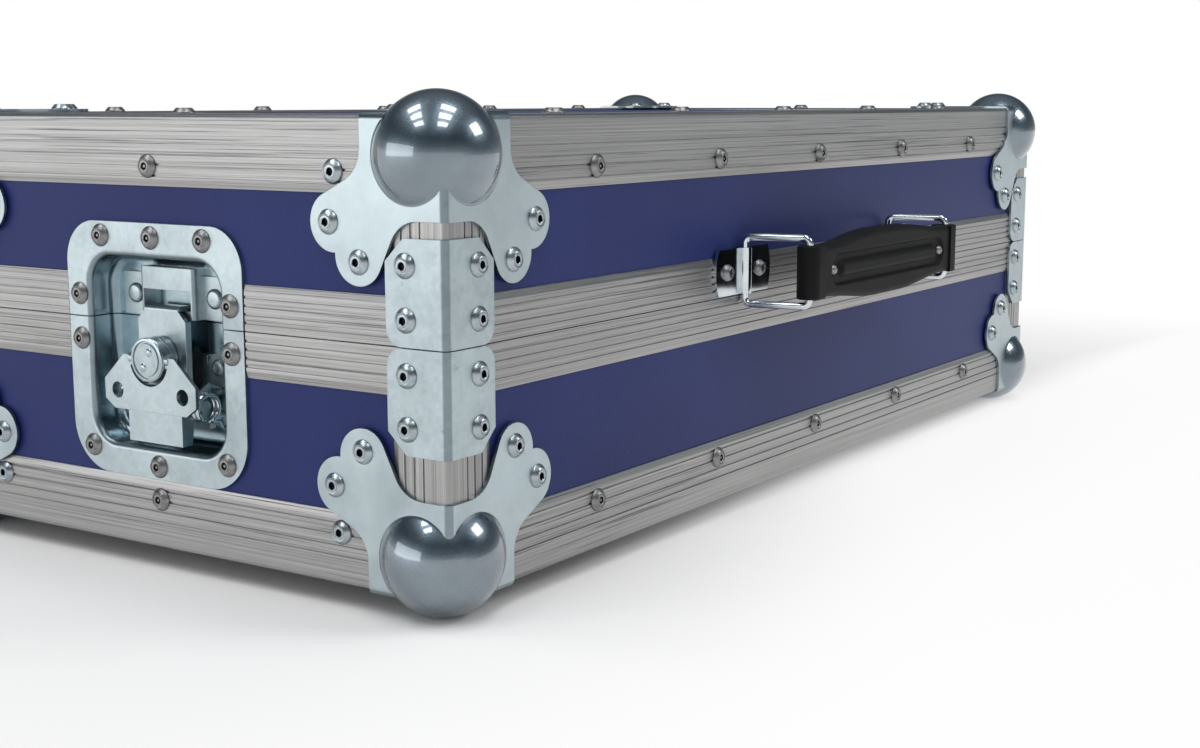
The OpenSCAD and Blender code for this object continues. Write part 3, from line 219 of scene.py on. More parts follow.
# plating: clouded, with small dull marks, and a painted dark reflection on its bends
def platedTone(tree, place, look, marks, spangled):
    cloud = noiseOf(tree, place, *look["cloud"])
    tone = tonesOf(tree, cloud, look)
    if spangled:
        cells = addNode(tree, "TexVoronoi", {"Vector": place, "Scale": look["spangleScale"]}).outputs["Color"]
        spangle = addNode(tree, "SeparateColor", {0: cells}).outputs[0]
        tone = blendColor(tree, "SOFT_LIGHT", look["spangleDepth"], tone, spangle)
    dulled = greysOf(tree, noiseOf(tree, place, *look["mark"]), *marks["greys"])
    tone = blendColor(tree, "MULTIPLY", marks["depth"], tone, dulled)
    # painted dark reflection: bends and round parts are made darker
    bendReflection = scaled(tree, bentShare(tree), look["bendReflectionDepth"])
    return cloud, blendColor(tree, "MULTIPLY", bendReflection, tone, look["bendReflectionTone"])


def zincPlated(name, look, faceAt=None):
    mat, tree, skin = newMaterial(name)
    place = coordinates(tree)
    cloud, tone = platedTone(tree, place, look, look["marks"], True)
    scuff = noiseOf(tree, stretched(tree, place, look["scuff"]), 1.0, 2.0)
    rough = roughOf(tree, cloud, look)
    if faceAt:          # the pressing is smoother below the face, and painted shade darkens it there
        along = mathOf(tree, "ABSOLUTE", partsOf(tree, place)[0])
        sunk = shareOf(tree, along, faceAt, faceAt - look["sunkOver"])
        # painted shade in the recess of the dishes and caps
        tone = blendColor(tree, "MULTIPLY", sunk, tone, look["sunk"])
        rough = mathOf(tree, "SUBTRACT", rough, scaled(tree, sunk, look["sunkSmooth"]))
    feed(tree, skin, {"Base Color": tone, "Metallic": 1.0,
                      "Roughness": scaled(tree, scuff, look["scuffSpread"], rough),
                      "Normal": bumpOf(tree, scuff, look)})
    return mat


def blueLaminate(name, look):
    mat, tree, skin = newMaterial(name)
    place = coordinates(tree)
    grain = noiseOf(tree, place, *look["grain"])
    flecked = rampOf(tree, noiseOf(tree, place, *look["fleck"]), look["fleckTones"])
    tone = tonesOf(tree, noiseOf(tree, place, *look["cloud"]), look)
    tone = blendColor(tree, "ADD", look["fleckDepth"], tone, flecked)
    feed(tree, skin, {"Base Color": tone, "Specular IOR Level": look["gloss"],
                      "Roughness": roughOf(tree, grain, look), "Normal": bumpOf(tree, grain, look)})
    return mat


def plainSteel(name, look):
    mat, tree, skin = newMaterial(name)
    place = coordinates(tree)
    cloud = noiseOf(tree, place, *look["cloud"])
    feed(tree, skin, {"Base Color": tonesOf(tree, cloud, look), "Metallic": 1.0,
                      "Roughness": roughOf(tree, cloud, look),
                      "Normal": bumpOf(tree, noiseOf(tree, place, *look["grain"]), look)})
    return mat


# plated flanges, and the polished ball round its centre
def cornerSteel(name, plate, ball, spot):
    mat, tree, skin = newMaterial(name)
    place = coordinates(tree)
    folded = vectorMath(tree, "ABSOLUTE", vectorMath(tree, "SUBTRACT", place, spot["middle"])[0])[0]
    away = vectorMath(tree, "DISTANCE", folded, spot["centre"])["Value"]
    isBall = shareOf(tree, away, *spot["radii"])
    cloud, flat = platedTone(tree, place, plate, ball["flangeMarks"], False)
    smear = noiseOf(tree, place, *ball["cloud"])
    tone = blendColor(tree, "MIX", isBall, flat, tonesOf(tree, smear, ball))
    roughs = {0: isBall, 2: roughOf(tree, cloud, plate), 3: roughOf(tree, smear, ball)}
    lift = mathOf(tree, "ADD", isBall, ball["flangeGrain"])
    lift = mathOf(tree, "MULTIPLY", noiseOf(tree, place, *ball["grain"]), lift)
    feed(tree, skin, {"Base Color": tone, "Metallic": 1.0,
                      "Roughness": addNode(tree, "Mix", roughs, data_type="FLOAT").outputs[0],
                      "Normal": bumpOf(tree, lift, ball, plate["edge"])})
    # a polished skin over the ball's blurred press marks
    feed(tree, skin, {"Coat Weight": isBall, "Coat Roughness": ball["coatRoughness"],
                      "Coat IOR": ball["coatGloss"]})
    return mat


def softPlastic(name, look):
    mat, tree, skin = newMaterial(name)
    place = coordinates(tree)
    cells = {"Vector": place, "Scale": look["cellScale"]}
    grain = addNode(tree, "TexVoronoi", cells, feature="SMOOTH_F1").outputs["Distance"]
    cloud = noiseOf(tree, place, *look["cloud"])
    feed(tree, skin, {"Base Color": tonesOf(tree, cloud, look), "Specular IOR Level": look["gloss"],
                      "Roughness": roughOf(tree, cloud, look), "Normal": bumpOf(tree, grain, look)})
    return mat


# a noise is given by its scale, detail and roughness, greys by their start, the grey there and their end,
# and what is drawn out by its scales along and across
aluminiumLook = {"streak": (4, 1400, 4.0, 0.6), "line": (9, 1900, 2.0), "wear": (5, 60), "cloud": (9,),
                 "cloudGreys": (0.3, 0.75, 0.62), "wearGreys": (0.42, 0.25, 0.6),
                 "lineGreys": (0.6, 0.0, 0.68), "lineTone": (0.2, 0.2, 0.21, 1),
                 "cloudDepth": 0.3, "lineDepth": 0.75, "lineSunk": 0.8,
                 "roughness": 0.27, "roughSpread": 0.2, "bump": 0.4, "bumpDeep": 0.0002, "edge": 0.00025,
                 "stops": (0.28, 0.52, 0.78), "dark": (0.278, 0.275, 0.272), "pale": (0.392, 0.388, 0.384),
                 "bright": (0.52, 0.515, 0.51)}
zincLook = {"cloud": (26, 5.0, 0.6), "mark": (95, 6.0, 0.7),
            "marks": {"depth": 0.5, "greys": (0.27, 0.45, 0.36)},
            "spangleScale": 420, "spangleDepth": 0.1, "scuff": (260, 900, 1500), "scuffSpread": 0.08,
            # painted dark reflection on the bends
            "bendReflectionDepth": 0.65, "bendReflectionTone": (0.3, 0.34, 0.37, 1),
            # painted shade below the face of the pressings, how far down it reaches, and how much smoother it
            # is there
            "sunk": (0.88, 0.95, 0.99, 1), "sunkOver": 0.002, "sunkSmooth": 0.15,
            "roughness": 0.19, "roughSpread": 0.25, "bump": 0.06, "bumpDeep": 0.0002, "edge": 0.0004,
            "stops": (0.3, 0.55, 0.75), "dark": (0.35, 0.411, 0.432), "pale": (0.465, 0.543, 0.57),
            "bright": (0.545, 0.63, 0.655)}
ballLook = {"grain": (3200, 3.0, 0.65), "cloud": (60, 4.0, 0.6), "flangeGrain": 0.25,
            "flangeMarks": {"depth": 0.45, "greys": (0.27, 0.5, 0.37)},
            "coatRoughness": 0.05, "coatGloss": 2.1,
            "roughness": 0.2, "roughSpread": 0.14, "bump": 0.3, "bumpDeep": 0.0001,
            "stops": (0.3, 0.7), "dark": (0.115, 0.16, 0.195), "pale": (0.165, 0.215, 0.255)}
brightLook = {"grain": (3000, 3.0, 0.65), "cloud": (120, 4.0, 0.6),
              "roughness": 0.07, "roughSpread": 0.1, "bump": 0.08, "bumpDeep": 0.0001,
              "stops": (0.3, 0.7), "dark": (0.56, 0.61, 0.64), "pale": (0.7, 0.75, 0.78)}
turnedLook = {"grain": (3000, 3.0, 0.65), "cloud": (110, 4.0, 0.6),
              "roughness": 0.2, "roughSpread": 0.12, "bump": 0.03, "bumpDeep": 0.0001,
              "stops": (0.3, 0.7), "dark": (0.37, 0.435, 0.46), "pale": (0.49, 0.57, 0.6)}
rivetLook = {"grain": (2400, 3.0, 0.65), "cloud": (300, 4.0, 0.6),
             "roughness": 0.28, "roughSpread": 0.2, "bump": 0.2, "bumpDeep": 0.0001,
             "stops": (0.3, 0.7), "dark": (0.21, 0.207, 0.205), "pale": (0.33, 0.327, 0.325)}
platedRivetLook = {**rivetLook, "roughness": 0.22, "roughSpread": 0.15, "bump": 0.15,
                   "dark": (0.33, 0.375, 0.395), "pale": (0.47, 0.525, 0.55)}
holeLook = {**rivetLook, "roughness": 0.5, "bump": 0.1,
            "dark": (0.012, 0.014, 0.016), "pale": (0.03, 0.033, 0.036)}
laminateLook = {"grain": (1500, 3.0, 0.6), "cloud": (7, 4.0), "fleck": (900, 2.0), "fleckDepth": 0.03,
                "fleckTones": [(0.6, (0.0, 0.0, 0.0)), (0.75, (0.5, 0.5, 0.7))], "gloss": 0.18,
                "roughness": 0.34, "roughSpread": 0.2, "bump": 0.1, "bumpDeep": 0.0003,
                "stops": (0.3, 0.7), "dark": (0.014, 0.0225, 0.107), "pale": (0.0185, 0.03, 0.138)}
gripLook = {"cellScale": 2600, "cloud": (40, 4.0), "gloss": 0.16,
            "roughness": 0.5, "roughSpread": 0.15, "bump": 0.25, "bumpDeep": 0.0003,
            "stops": (0.3, 0.7), "dark": (0.0045, 0.0045, 0.005), "pale": (0.007, 0.007, 0.0075)}
foamLook = {**gripLook, "cellScale": 1300, "cloud": (30, 4.0), "roughness": 0.8, "bump": 0.9,
            "dark": (0.022, 0.022, 0.024), "pale": (0.045, 0.045, 0.048)}
# centre of a ball, with the eight corners folded into one
# it is flange outside the first radius, and ball inside the second
ballIn = 0.015
ballSpot = {"middle": caseMiddle, "centre": [case[side] / 2 - ballIn for side in ("long", "wide", "high")],
            "radii": (0.0251, 0.02485)}
pressedFrom = case["long"] / 2 - 0.0012     # the dishes and caps are sunk below this

edgingX = drawnAluminium("edgingX", "x", aluminiumLook)
edgingY = drawnAluminium("edgingY", "y", aluminiumLook)
edgingZ = drawnAluminium("edgingZ", "z", aluminiumLook)
edgingRing = drawnAluminium("edgingRing", "ring", aluminiumLook)
zinc = zincPlated("zincPlate", zincLook)
zincPressing = zincPlated("zincPressing", zincLook, pressedFrom)
zincTurned = plainSteel("zincTurned", turnedLook)
holeShade = plainSteel("holeShade", holeLook)
ballSteel = cornerSteel("cornerSteel", zincLook, ballLook, ballSpot)
brightSteel = plainSteel("brightSteel", brightLook)
rivetSteel = plainSteel("rivetSteel", rivetLook)
platedRivet = plainSteel("platedRivet", platedRivetLook)
laminate = blueLaminate("blueLaminate", laminateLook)
gripPlastic = softPlastic("gripPlastic", gripLook)
foamSkin = softPlastic("foam", foamLook)
print("materials made")

# words in a node's name, and its finish; the rest is plated
finishes = [(("_posts",), edgingZ), (("_closing",), edgingRing), (("_wall_", "_floor", "lid_top"), laminate),
            (("_ball_",), ballSteel), (("_rivets",), rivetSteel), (("_lining",), foamSkin),
            (("_dish", "_cap"), zincPressing), (("_barrel",), zincTurned),
            (("_spring", "_loop_", "handle_bracket"), brightSteel), (("handle_grip",), gripPlastic)]


def finishOf(nodeName):
    if "_edge_" in nodeName:
        return edgingX if nodeName.endswith(("front", "back")) else edgingY
    for words, mat in finishes:
        if any(w in nodeName for w in words):
            return mat
    return zinc


def dress(obj, mat):
    if not obj.data.materials:
        obj.data.materials.append(mat)
    for i in range(len(obj.data.materials)):
        obj.data.materials[i] = mat


for name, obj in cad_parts.items():
    dress(obj, finishOf(name))
print("nodes dressed")

# pieces that the CAD leaves plain


def addMesh(name, verts, faces, mat, body):
    mesh = bpy.data.meshes.new(name)
    mesh.from_pydata([tuple(v) for v in verts], [], faces)
    mesh.validate()
    mesh.polygons.foreach_set("use_smooth", [True] * len(mesh.polygons))
    obj = addObject(name, mesh)
    mesh.materials.append(mat)
    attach(obj, body)
    return obj


# adds a shape's points and faces to those of a piece
def addShape(verts, faces, shape):
    points, sides = shape
    faces += [tuple(i + len(verts) for i in one) for one in sides]
    verts += points


def faceOutward(mesh):
    work = bmesh.new()
    work.from_mesh(mesh)
    bmesh.ops.recalc_face_normals(work, faces=work.faces)
    work.to_mesh(mesh)
    work.free()


def sharpen(mesh, degrees):
    mesh.set_sharp_from_angle(angle=math.radians(degrees))


# quads between rings of the same number of points
def loftFaces(rings, points, capped=True):
    faces = []
    for i in range(rings - 1):
        here, there = i * points, (i + 1) * points
        for k in range(points):
            j = (k + 1) % points
            faces.append((here + k, here + j, there + j, there + k))
    if capped:
        last = (rings - 1) * points
        faces += [tuple(reversed(range(points))), tuple(range(last, last + points))]
    return faces


def circleOf(side, other, radius, sides):
    turns = [2 * math.pi * k / sides for k in range(sides)]
    return [(side * math.cos(a) + other * math.sin(a)) * radius for a in turns]


def tubeAlong(path, radius, sides):
    path = [Vector(q) for q in path]
    verts, side = [], None
    for i, q in enumerate(path):
        ahead = (path[min(i + 1, len(path) - 1)] - path[max(i - 1, 0)]).normalized()
        side = ahead.orthogonal() if side is None else side - ahead * side.dot(ahead)
        side.normalize()
        verts += [q + spoke for spoke in circleOf(side, ahead.cross(side), radius, sides)]
    return verts, loftFaces(len(path), sides)


# x across, y up from the split, z out of the end face
def latchPlace(x, y, z, side):
    return Vector((side * (case["long"] / 2 + z), case["middleY"] + side * x, case["split"] + y))


# wound springs on the lever pins: one leg lies along the pin, the other runs down to the dish's floor
spring = {"wire": 0.0021, "sides": 14, "turns": 2, "stepsPerTurn": 32, "pitch": 0.0026, "start": 0.0203,
          "pinUp": -0.0351, "pinOut": -0.006, "floorOut": -0.0141, "footOut": -0.0125,
          "leverLeg": (0.0045, 0.003, 0.0015, 0.0006), "bend": ((0.0006, 0.0015), (0.0012, 0.004)),
          "leg": 0.01}


def springPath(s, side, hand):
    r = s["pinOut"] - s["footOut"] - s["wire"] / 2
    up, out = s["pinUp"], s["pinOut"]
    steps, length = s["stepsPerTurn"] * s["turns"], s["pitch"] * s["turns"]
    path = [(s["start"] - q, up - r, out) for q in s["leverLeg"]]
    for i in range(steps + 1):
        a = math.pi / 2 + 2 * math.pi * s["turns"] * i / steps
        path.append((s["start"] + length * i / steps, up - r * math.sin(a), out - r * math.cos(a)))
    end = s["start"] + length
    path += [(end, up - r - down, out - back) for down, back in s["bend"]]
    path.append((end, up - s["leg"], s["floorOut"] + s["wire"] / 2))
    return [latchPlace(hand * x, y, z, side) for x, y, z in path]


for sideName, side in (("left", -1), ("right", 1)):
    verts, faces = [], []
    for hand in (-1, 1):
        addShape(verts, faces, tubeAlong(springPath(spring, side, hand), spring["wire"] / 2, spring["sides"]))
    piece = addMesh("springWire" + sideName.capitalize(), verts, faces, brightSteel, "base")
    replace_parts(piece, f"latch_{sideName}_spring")
print("springs wound")

# handle grip: lofted along x, with its trough and rib, and a roll at each end
grip = {"span": 0.168, "up": 0.0118, "shift": 0.006653, "out": 0.0333, "face": 0.005, "edge": 0.003,
        "endHalf": 0.01275, "midHalf": 0.017, "swellFrom": 0.010, "swellOver": 0.060,
        "endBack": 0.0044, "midBack": 0.0068, "backFrom": 0.008, "backOver": 0.045,
        "troughEnd": 0.070, "troughHalf": 0.008, "troughDeep": 0.0017, "troughEdge": 0.0012,
        "ribEnd": 0.0605, "ribHalf": 0.0045, "ribHigh": 0.0024, "ribFull": 1.6, "ribRise": 3,
        "roll": 0.006, "rollIn": 0.0055, "rollEdge": 0.0007, "rollKnee": 0.3,
        "wire": 0.0019, "boreDeep": 0.85,
        "stations": 150, "faceSteps": 44, "cornerSteps": 6, "rollSteps": 40, "sharpOver": 50}


def ramp(t):
    t = min(1.0, max(0.0, t))
    return t * t * (3 - 2 * t)


# how far the face lies below its rim at x, y
def gripDip(g, x, y):
    along = max(0.0, abs(x) - (g["troughEnd"] - g["troughHalf"]))
    inside = g["troughHalf"] - math.hypot(along, y)
    dip = g["troughDeep"] * ramp(inside / g["troughEdge"])
    far = max(0.0, abs(x) - (g["ribEnd"] - g["ribHalf"]))
    inRib = 1 - math.hypot(far, y) / g["ribHalf"]
    if inRib > 0:
        dip -= g["ribHigh"] * math.sqrt(min(1.0, inRib * g["ribFull"])) * ramp(inRib * g["ribRise"])
    return dip


# x along, y up, z out, from the middle between the grip's pivots
def gripPlace(g, x, y, z):
    front = case["middleY"] - case["wide"] / 2 - g["out"]
    return Vector((g["shift"] + x, front - z, case["split"] + g["up"] + y))


# a quarter of a circle in y and z, without its first point
def quarterRound(y, z, radius, start, steps):
    turns = [math.radians(start + 90 * k / steps) for k in range(1, steps + 1)]
    return [(y + radius * math.cos(a), z + radius * math.sin(a)) for a in turns]


def gripRing(g, x):
    fromEnd = g["span"] / 2 - abs(x)
    half = g["endHalf"] + (g["midHalf"] - g["endHalf"]) * ramp((fromEnd - g["swellFrom"]) / g["swellOver"])
    back = g["endBack"] + (g["midBack"] - g["endBack"]) * ramp((fromEnd - g["backFrom"]) / g["backOver"])
    e, steps, corners = g["edge"], g["faceSteps"], g["cornerSteps"]
    acrossFace = [(half - e) * (1 - 2 * k / steps) for k in range(steps + 1)]
    ring = [(y, g["face"] - gripDip(g, x, y)) for y in acrossFace]
    ring += quarterRound(e - half, g["face"] - e, e, 90, corners)
    ring += quarterRound(e - half, e - back, e, 180, corners)
    ring += [((half - e) * (2 * k / steps - 1), -back) for k in range(1, steps + 1)]
    ring += quarterRound(half - e, e - back, e, 270, corners)
    ring += quarterRound(half - e, g["face"] - e, e, 0, corners)
    return ring[:-1]


# an end rolled round its wire: flat towards the grip, with a short bore at its top and bottom
def gripRoll(g, hand):
    turns = [math.radians(90 - 180 * k / g["rollSteps"]) for k in range(g["rollSteps"] + 1)]
    outline = [(math.cos(a) * g["roll"], math.sin(a) * g["roll"]) for a in turns]
    outline += [(-g["rollIn"], -g["roll"]), (-g["rollIn"], g["roll"])]
    half, edge, middle = g["endHalf"], g["rollEdge"], g["span"] / 2
    knee = edge * g["rollKnee"]
    rounding = [(0, edge), (knee, knee), (edge, 0)]
    levels = [(inward - half, drop) for inward, drop in rounding]
    levels += [(half - inward, drop) for inward, drop in reversed(rounding)]
    verts = []
    for y, drop in levels:
        for u, w in outline:
            share = 1 - drop / math.hypot(u, w)
            verts.append(gripPlace(g, hand * (middle + u * share), y, w * share))
    for end in (-half, half):       # rim of the wire's bore, then its bottom
        for y in (end, end * g["boreDeep"]):
            for u, w in outline:
                a = math.atan2(w, u)
                along = hand * (middle + g["wire"] * math.cos(a))
                verts.append(gripPlace(g, along, y, g["wire"] * math.sin(a)))
    n = len(outline)
    faces = loftFaces(len(levels), n, False)
    last, rim1 = (len(levels) - 1) * n, len(levels) * n
    floor1, rim2, floor2 = rim1 + n, rim1 + 2 * n, rim1 + 3 * n
    for k in range(n):
        j = (k + 1) % n
        faces += [(k, rim1 + k, rim1 + j, j), (rim1 + k, floor1 + k, floor1 + j, rim1 + j),
                  (last + j, rim2 + j, rim2 + k, last + k), (rim2 + j, floor2 + j, floor2 + k, rim2 + k)]
    return verts, faces


def makeGrip(g):
    half, stations = g["span"] / 2 - g["roll"] / 2, g["stations"]
    rings = [(x, gripRing(g, x)) for x in (-half + 2 * half * i / stations for i in range(stations + 1))]
    verts = [gripPlace(g, x, y, z) for x, ring in rings for y, z in ring]
    faces = loftFaces(len(rings), len(rings[0][1]))
    for hand in (-1, 1):
        addShape(verts, faces, gripRoll(g, hand))
    piece = addMesh("gripMoulding", verts, faces, gripPlastic, "grip")
    faceOutward(piece.data)
    sharpen(piece.data, g["sharpOver"])
    return piece


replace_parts(makeGrip(grip), "handle_grip")

# rivet heads, ring by ring: share of the radius, share of the height
rivetShape = [(1.0, 0.0), (1.0, 0.14), (0.95, 0.3), (0.7, 0.93), (0.64, 1.0), (0.59, 0.97), (0.57, 0.84),
              (0.53, 0.83), (0.5, 0.94), (0.36, 0.96), (0.31, 0.88), (0.29, 0.3), (0.2, 0.26), (0.001, 0.26)]
mandrelShape = rivetShape[:11] + [(0.29, 0.62), (0.19, 0.6), (0.13, 0.62), (0.12, 0.78), (0.001, 0.8)]
plainShape = [(1.0, 0.0), (1.0, 0.16), (0.93, 0.4), (0.8, 0.66), (0.6, 0.87), (0.35, 0.97), (0.001, 1.0)]
flatShape = [(1.0, 0.0), (1.0, 0.16), (0.94, 0.4), (0.84, 0.56), (0.6, 0.66), (0.001, 0.7)]
holeRings = range(10, 13)
rivetSkins = [rivetSteel, platedRivet, holeShade, zinc]
# each kind's shape, its skin and the rings inside its hole
rivetKinds = {"plated": (rivetShape, platedRivet, holeRings), "grey": (mandrelShape, rivetSteel, holeRings),
              "flat": (flatShape, zinc, ())}
rivets = {"sides": 28, "latchHalf": 0.035, "sunkFrom": 0.007, "sunkTo": 0.012,
          "braceHalf": 0.06, "braceDeep": 0.004, "cornerFrom": 0.03, "cornerTo": 0.064, "sharpOver": 40}


def domedRivet(place, out, radius, high, shape, sides):
    side = out.orthogonal().normalized()
    other = out.cross(side)
    verts = []
    for r, z in shape:
        verts += [place + out * (high * z) + spoke for spoke in circleOf(side, other, radius * r, sides)]
    return verts, loftFaces(len(shape), sides)


# the boxes of a node's separate solids
def islandsOf(obj, weld=1e-6):
    work = bmesh.new()
    work.from_mesh(obj.data)
    bmesh.ops.remove_doubles(work, verts=work.verts, dist=weld)
    seen, boxes = set(), []
    for v in work.verts:
        if v.index in seen:
            continue
        stack, group = [v], []
        seen.add(v.index)
        while stack:
            one = stack.pop()
            group.append(one.co.copy())
            fresh = [o for o in (e.other_vert(one) for e in one.link_edges) if o.index not in seen]
            seen.update(o.index for o in fresh)
            stack += fresh
        low = Vector([min(c[i] for c in group) for i in range(3)])
        high = Vector([max(c[i] for c in group) for i in range(3)])
        boxes.append((low, high))
    work.free()
    return boxes


# flat in the latch dishes, plated with an open hole on the corners' plates, grey with its mandrel elsewhere
def rivetKind(centre, r):
    fromMiddle = abs(centre.y - case["middleY"])
    fromEnd = abs(abs(centre.x) - case["long"] / 2)
    fromSide = abs(fromMiddle - case["wide"] / 2)
    if r["sunkFrom"] < fromEnd < r["sunkTo"] and fromMiddle < r["latchHalf"]:
        return "flat"
    onBrace = min(fromEnd, fromSide) < r["braceDeep"] and fromEnd + fromSide < r["cornerTo"]
    if onBrace and abs(centre.z - caseMiddle[2]) < r["braceHalf"]:
        return "plated"
    onFlange = max(fromEnd, fromSide) < r["cornerTo"] and max(fromEnd, fromSide) > r["cornerFrom"]
    return "plated" if onFlange else "grey"


def makeRivets(nodeName, body, r):
    verts, faces, skins = [], [], []
    for low, high in islandsOf(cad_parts[nodeName]):
        size, centre = high - low, (high + low) / 2
        thin = min(range(3), key=lambda i: size[i])
        out = Vector((0, 0, 0))
        out[thin] = 1 if centre[thin] > caseMiddle[thin] else -1
        shape, skin, hole = rivetKinds[rivetKind(centre, r)]
        dome = domedRivet(centre - out * size[thin] / 2, out, max(size) / 2, size[thin], shape, r["sides"])
        rings = [i // r["sides"] for i in range(len(dome[1]))]
        skins += [rivetSkins.index(holeShade if ring in hole else skin) for ring in rings]
        addShape(verts, faces, dome)
    piece = addMesh(nodeName.replace("_rivets", "RivetHeads"), verts, faces, rivetSkins[0], body)
    for mat in rivetSkins[1:]:
        piece.data.materials.append(mat)
    piece.data.polygons.foreach_set("material_index", skins)
    faceOutward(piece.data)
    sharpen(piece.data, r["sharpOver"])
    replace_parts(piece, nodeName)


makeRivets("base_rivets", "base", rivets)
makeRivets("lid_rivets", "lid", rivets)

gripRivets = {"x": 0.066, "radius": 0.0026, "high": 0.0023}
outward = Vector((0, -1, 0))
verts, faces = [], []
for hand in (-1, 1):
    place = gripPlace(grip, hand * gripRivets["x"], 0, grip["face"] - grip["troughDeep"])
    dome = domedRivet(place, outward, gripRivets["radius"], gripRivets["high"], plainShape, rivets["sides"])
    addShape(verts, faces, dome)
addMesh("gripRivets", verts, faces, rivetSteel, "grip")

# face of each barrel's head, with its groove and two raised spots
head = {"radius": 0.0095, "high": 0.0007, "sides": 64, "flatWithin": 0.00005, "sharpOver": 30,
        "spotAngles": (60, 240), "spotOut": 0.0038, "spotRadius": 0.0021, "spotHigh": 0.0007,
        "shape": [(1.0, -0.3), (1.0, 0.3), (0.97, 0.8), (0.93, 1.0), (0.85, 1.0), (0.83, 0.1), (0.76, 0.1),
                  (0.74, 1.0), (0.001, 1.0)]}


# middle of the outer end of a barrel
def barrelEnd(sideName, side, within):
    points = [v.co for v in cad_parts[f"latch_{sideName}_barrel"].data.vertices]
    end = max(side * q.x for q in points)
    rim = [q for q in points if side * q.x > end - within]
    return Vector([(min(q[i] for q in rim) + max(q[i] for q in rim)) / 2 for i in range(3)])


def makeBarrelFace(sideName, side, h):
    middle, out = barrelEnd(sideName, side, h["flatWithin"]), Vector((side, 0, 0))
    verts, faces = domedRivet(middle, out, h["radius"], h["high"], h["shape"], h["sides"])
    for turn in [math.radians(a) for a in h["spotAngles"]]:
        place = middle + Vector((0, side * h["spotOut"] * math.cos(turn), h["spotOut"] * math.sin(turn)))
        spot = domedRivet(place, out, h["spotRadius"], h["spotHigh"] + h["high"], plainShape, rivets["sides"])
        addShape(verts, faces, spot)
    name, body = "barrelFace" + sideName.capitalize(), f"barrel_{sideName}"
    piece = addMesh(name, verts, faces, zincTurned, body)
    sharpen(piece.data, h["sharpOver"])


makeBarrelFace("left", -1, head)
makeBarrelFace("right", 1, head)
print("grip and rivets made")

# foam tubs of the base and the lid, with a pocket round each latch dish
foam = {"thick": 0.0135, "edge": 0.0018, "edgeSteps": 3, "pocketHalf": 0.0417, "pocketIn": 0.0166,
        "pocketBase": 0.0564, "pocketLid": 0.0292, "pocketGap": 0.0002, "pastRim": 0.02}


def boxObject(low, high):
    work = bmesh.new()
    bmesh.ops.create_cube(work, size=1.0)
    for v in work.verts:
        v.co = Vector([(low[i] + high[i]) / 2 + v.co[i] * (high[i] - low[i]) for i in range(3)])
    mesh = bpy.data.meshes.new("cutter")
    work.to_mesh(mesh)
    work.free()
    return addObject("cutter", mesh)


def makeTub(name, node, body, f, isLid):
    low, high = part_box(node)
    inward = 1 if isLid else -1         # from the rim towards the tub's floor
    pastRim = (low[2] if isLid else high[2]) - inward * f["pastRim"]
    tub = boxObject(low, high)
    inner = [[low[i] + f["thick"] for i in range(3)], [high[i] - f["thick"] for i in range(3)]]
    inner[0 if isLid else 1][2] = pastRim
    cutters = [boxObject(*inner)]
    deep = f["pocketLid"] if isLid else f["pocketBase"]
    zs = sorted((case["split"] + inward * (deep + f["pocketGap"]), pastRim))
    for side in (-1, 1):
        xs = sorted((side * (case["long"] / 2 - f["pocketIn"]), side * case["long"] / 2))
        ys = (case["middleY"] - f["pocketHalf"], case["middleY"] + f["pocketHalf"])
        cutters.append(boxObject((xs[0], ys[0], zs[0]), (xs[1], ys[1], zs[1])))
    for c in cutters:
        cut = tub.modifiers.new("cut", "BOOLEAN")
        cut.operation, cut.object, cut.solver = "DIFFERENCE", c, "EXACT"
    soft = tub.modifiers.new("soft", "BEVEL")
    soft.width, soft.segments, soft.limit_method = f["edge"], f["edgeSteps"], "ANGLE"
    bpy.context.view_layer.update()
    shaped = bpy.data.meshes.new_from_object(tub.evaluated_get(bpy.context.evaluated_depsgraph_get()))
    for c in cutters + [tub]:
        bpy.data.objects.remove(c)
    shaped.name = name
    piece = addObject(name, shaped)
    shaped.materials.clear()
    shaped.materials.append(foamSkin)
    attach(piece, body)
    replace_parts(piece, node)


makeTub("foamTubBase", "base_lining", "base", foam, False)
makeTub("foamTubLid", "lid_lining", "lid", foam, True)
print("foam tubs made")

# floor: fades to white away from the case, and sooner in front of it, but not in the shadow along its side
paper = {"half": 30.0, "tone": (0.86, 0.86, 0.86, 1), "roughness": 0.8, "gloss": 0.1, "fade": (0.47, 0.85),
         "frontMiddle": (-0.35, 0.25, 0), "frontFade": (0.36, 0.58), "frontMost": 0.85,
         "frontShadow": (-0.1, -0.16)}
# world: pale round the horizon and darker higher up, as the metal shows it, with one darker side
sky = {"light": (0.5, 0.5, 0.5, 1), "darkSide": (0.83, -0.54, 0), "darkFade": (0.3, 0.8),
       "tones": [(0.06, (1, 1, 1)), (0.1, (0.5, 0.55, 0.58)), (0.26, (0.17, 0.205, 0.23)),
                 (0.5, (0.07, 0.09, 0.11)), (0.9, (0.26, 0.29, 0.32))],
       "darkTones": [(0.0, (0.42, 0.45, 0.47)), (0.1, (0.19, 0.22, 0.245)), (0.28, (0.11, 0.135, 0.155)),
                     (0.5, (0.07, 0.09, 0.11)), (0.9, (0.26, 0.29, 0.32))]}
lamps = [{"name": "leftLamp", "place": (-3.7, 2.1, 0.66), "size": (4.5, 1.25), "power": 32},
         {"name": "rightLamp", "place": (0.86, -1.57, 1.37), "size": (0.8, 0.6), "power": 9}]
lampAim = Vector((0, 0, 0.1))
ceiling = {"heading": 33.3, "high": 2.5, "step": 0.87, "rows": [(-1.38, 0.61), (-0.54, -1.02)],
           "size": (0.55, 0.8), "power": 8}


# 1 for what the camera sees, straight or in metal, and 0 for the light on the case
def seenShare(tree, path):
    mirrored = mathOf(tree, "MAXIMUM", path["Is Glossy Ray"], path["Is Transmission Ray"])
    return mathOf(tree, "MAXIMUM", path["Is Camera Ray"], mirrored)


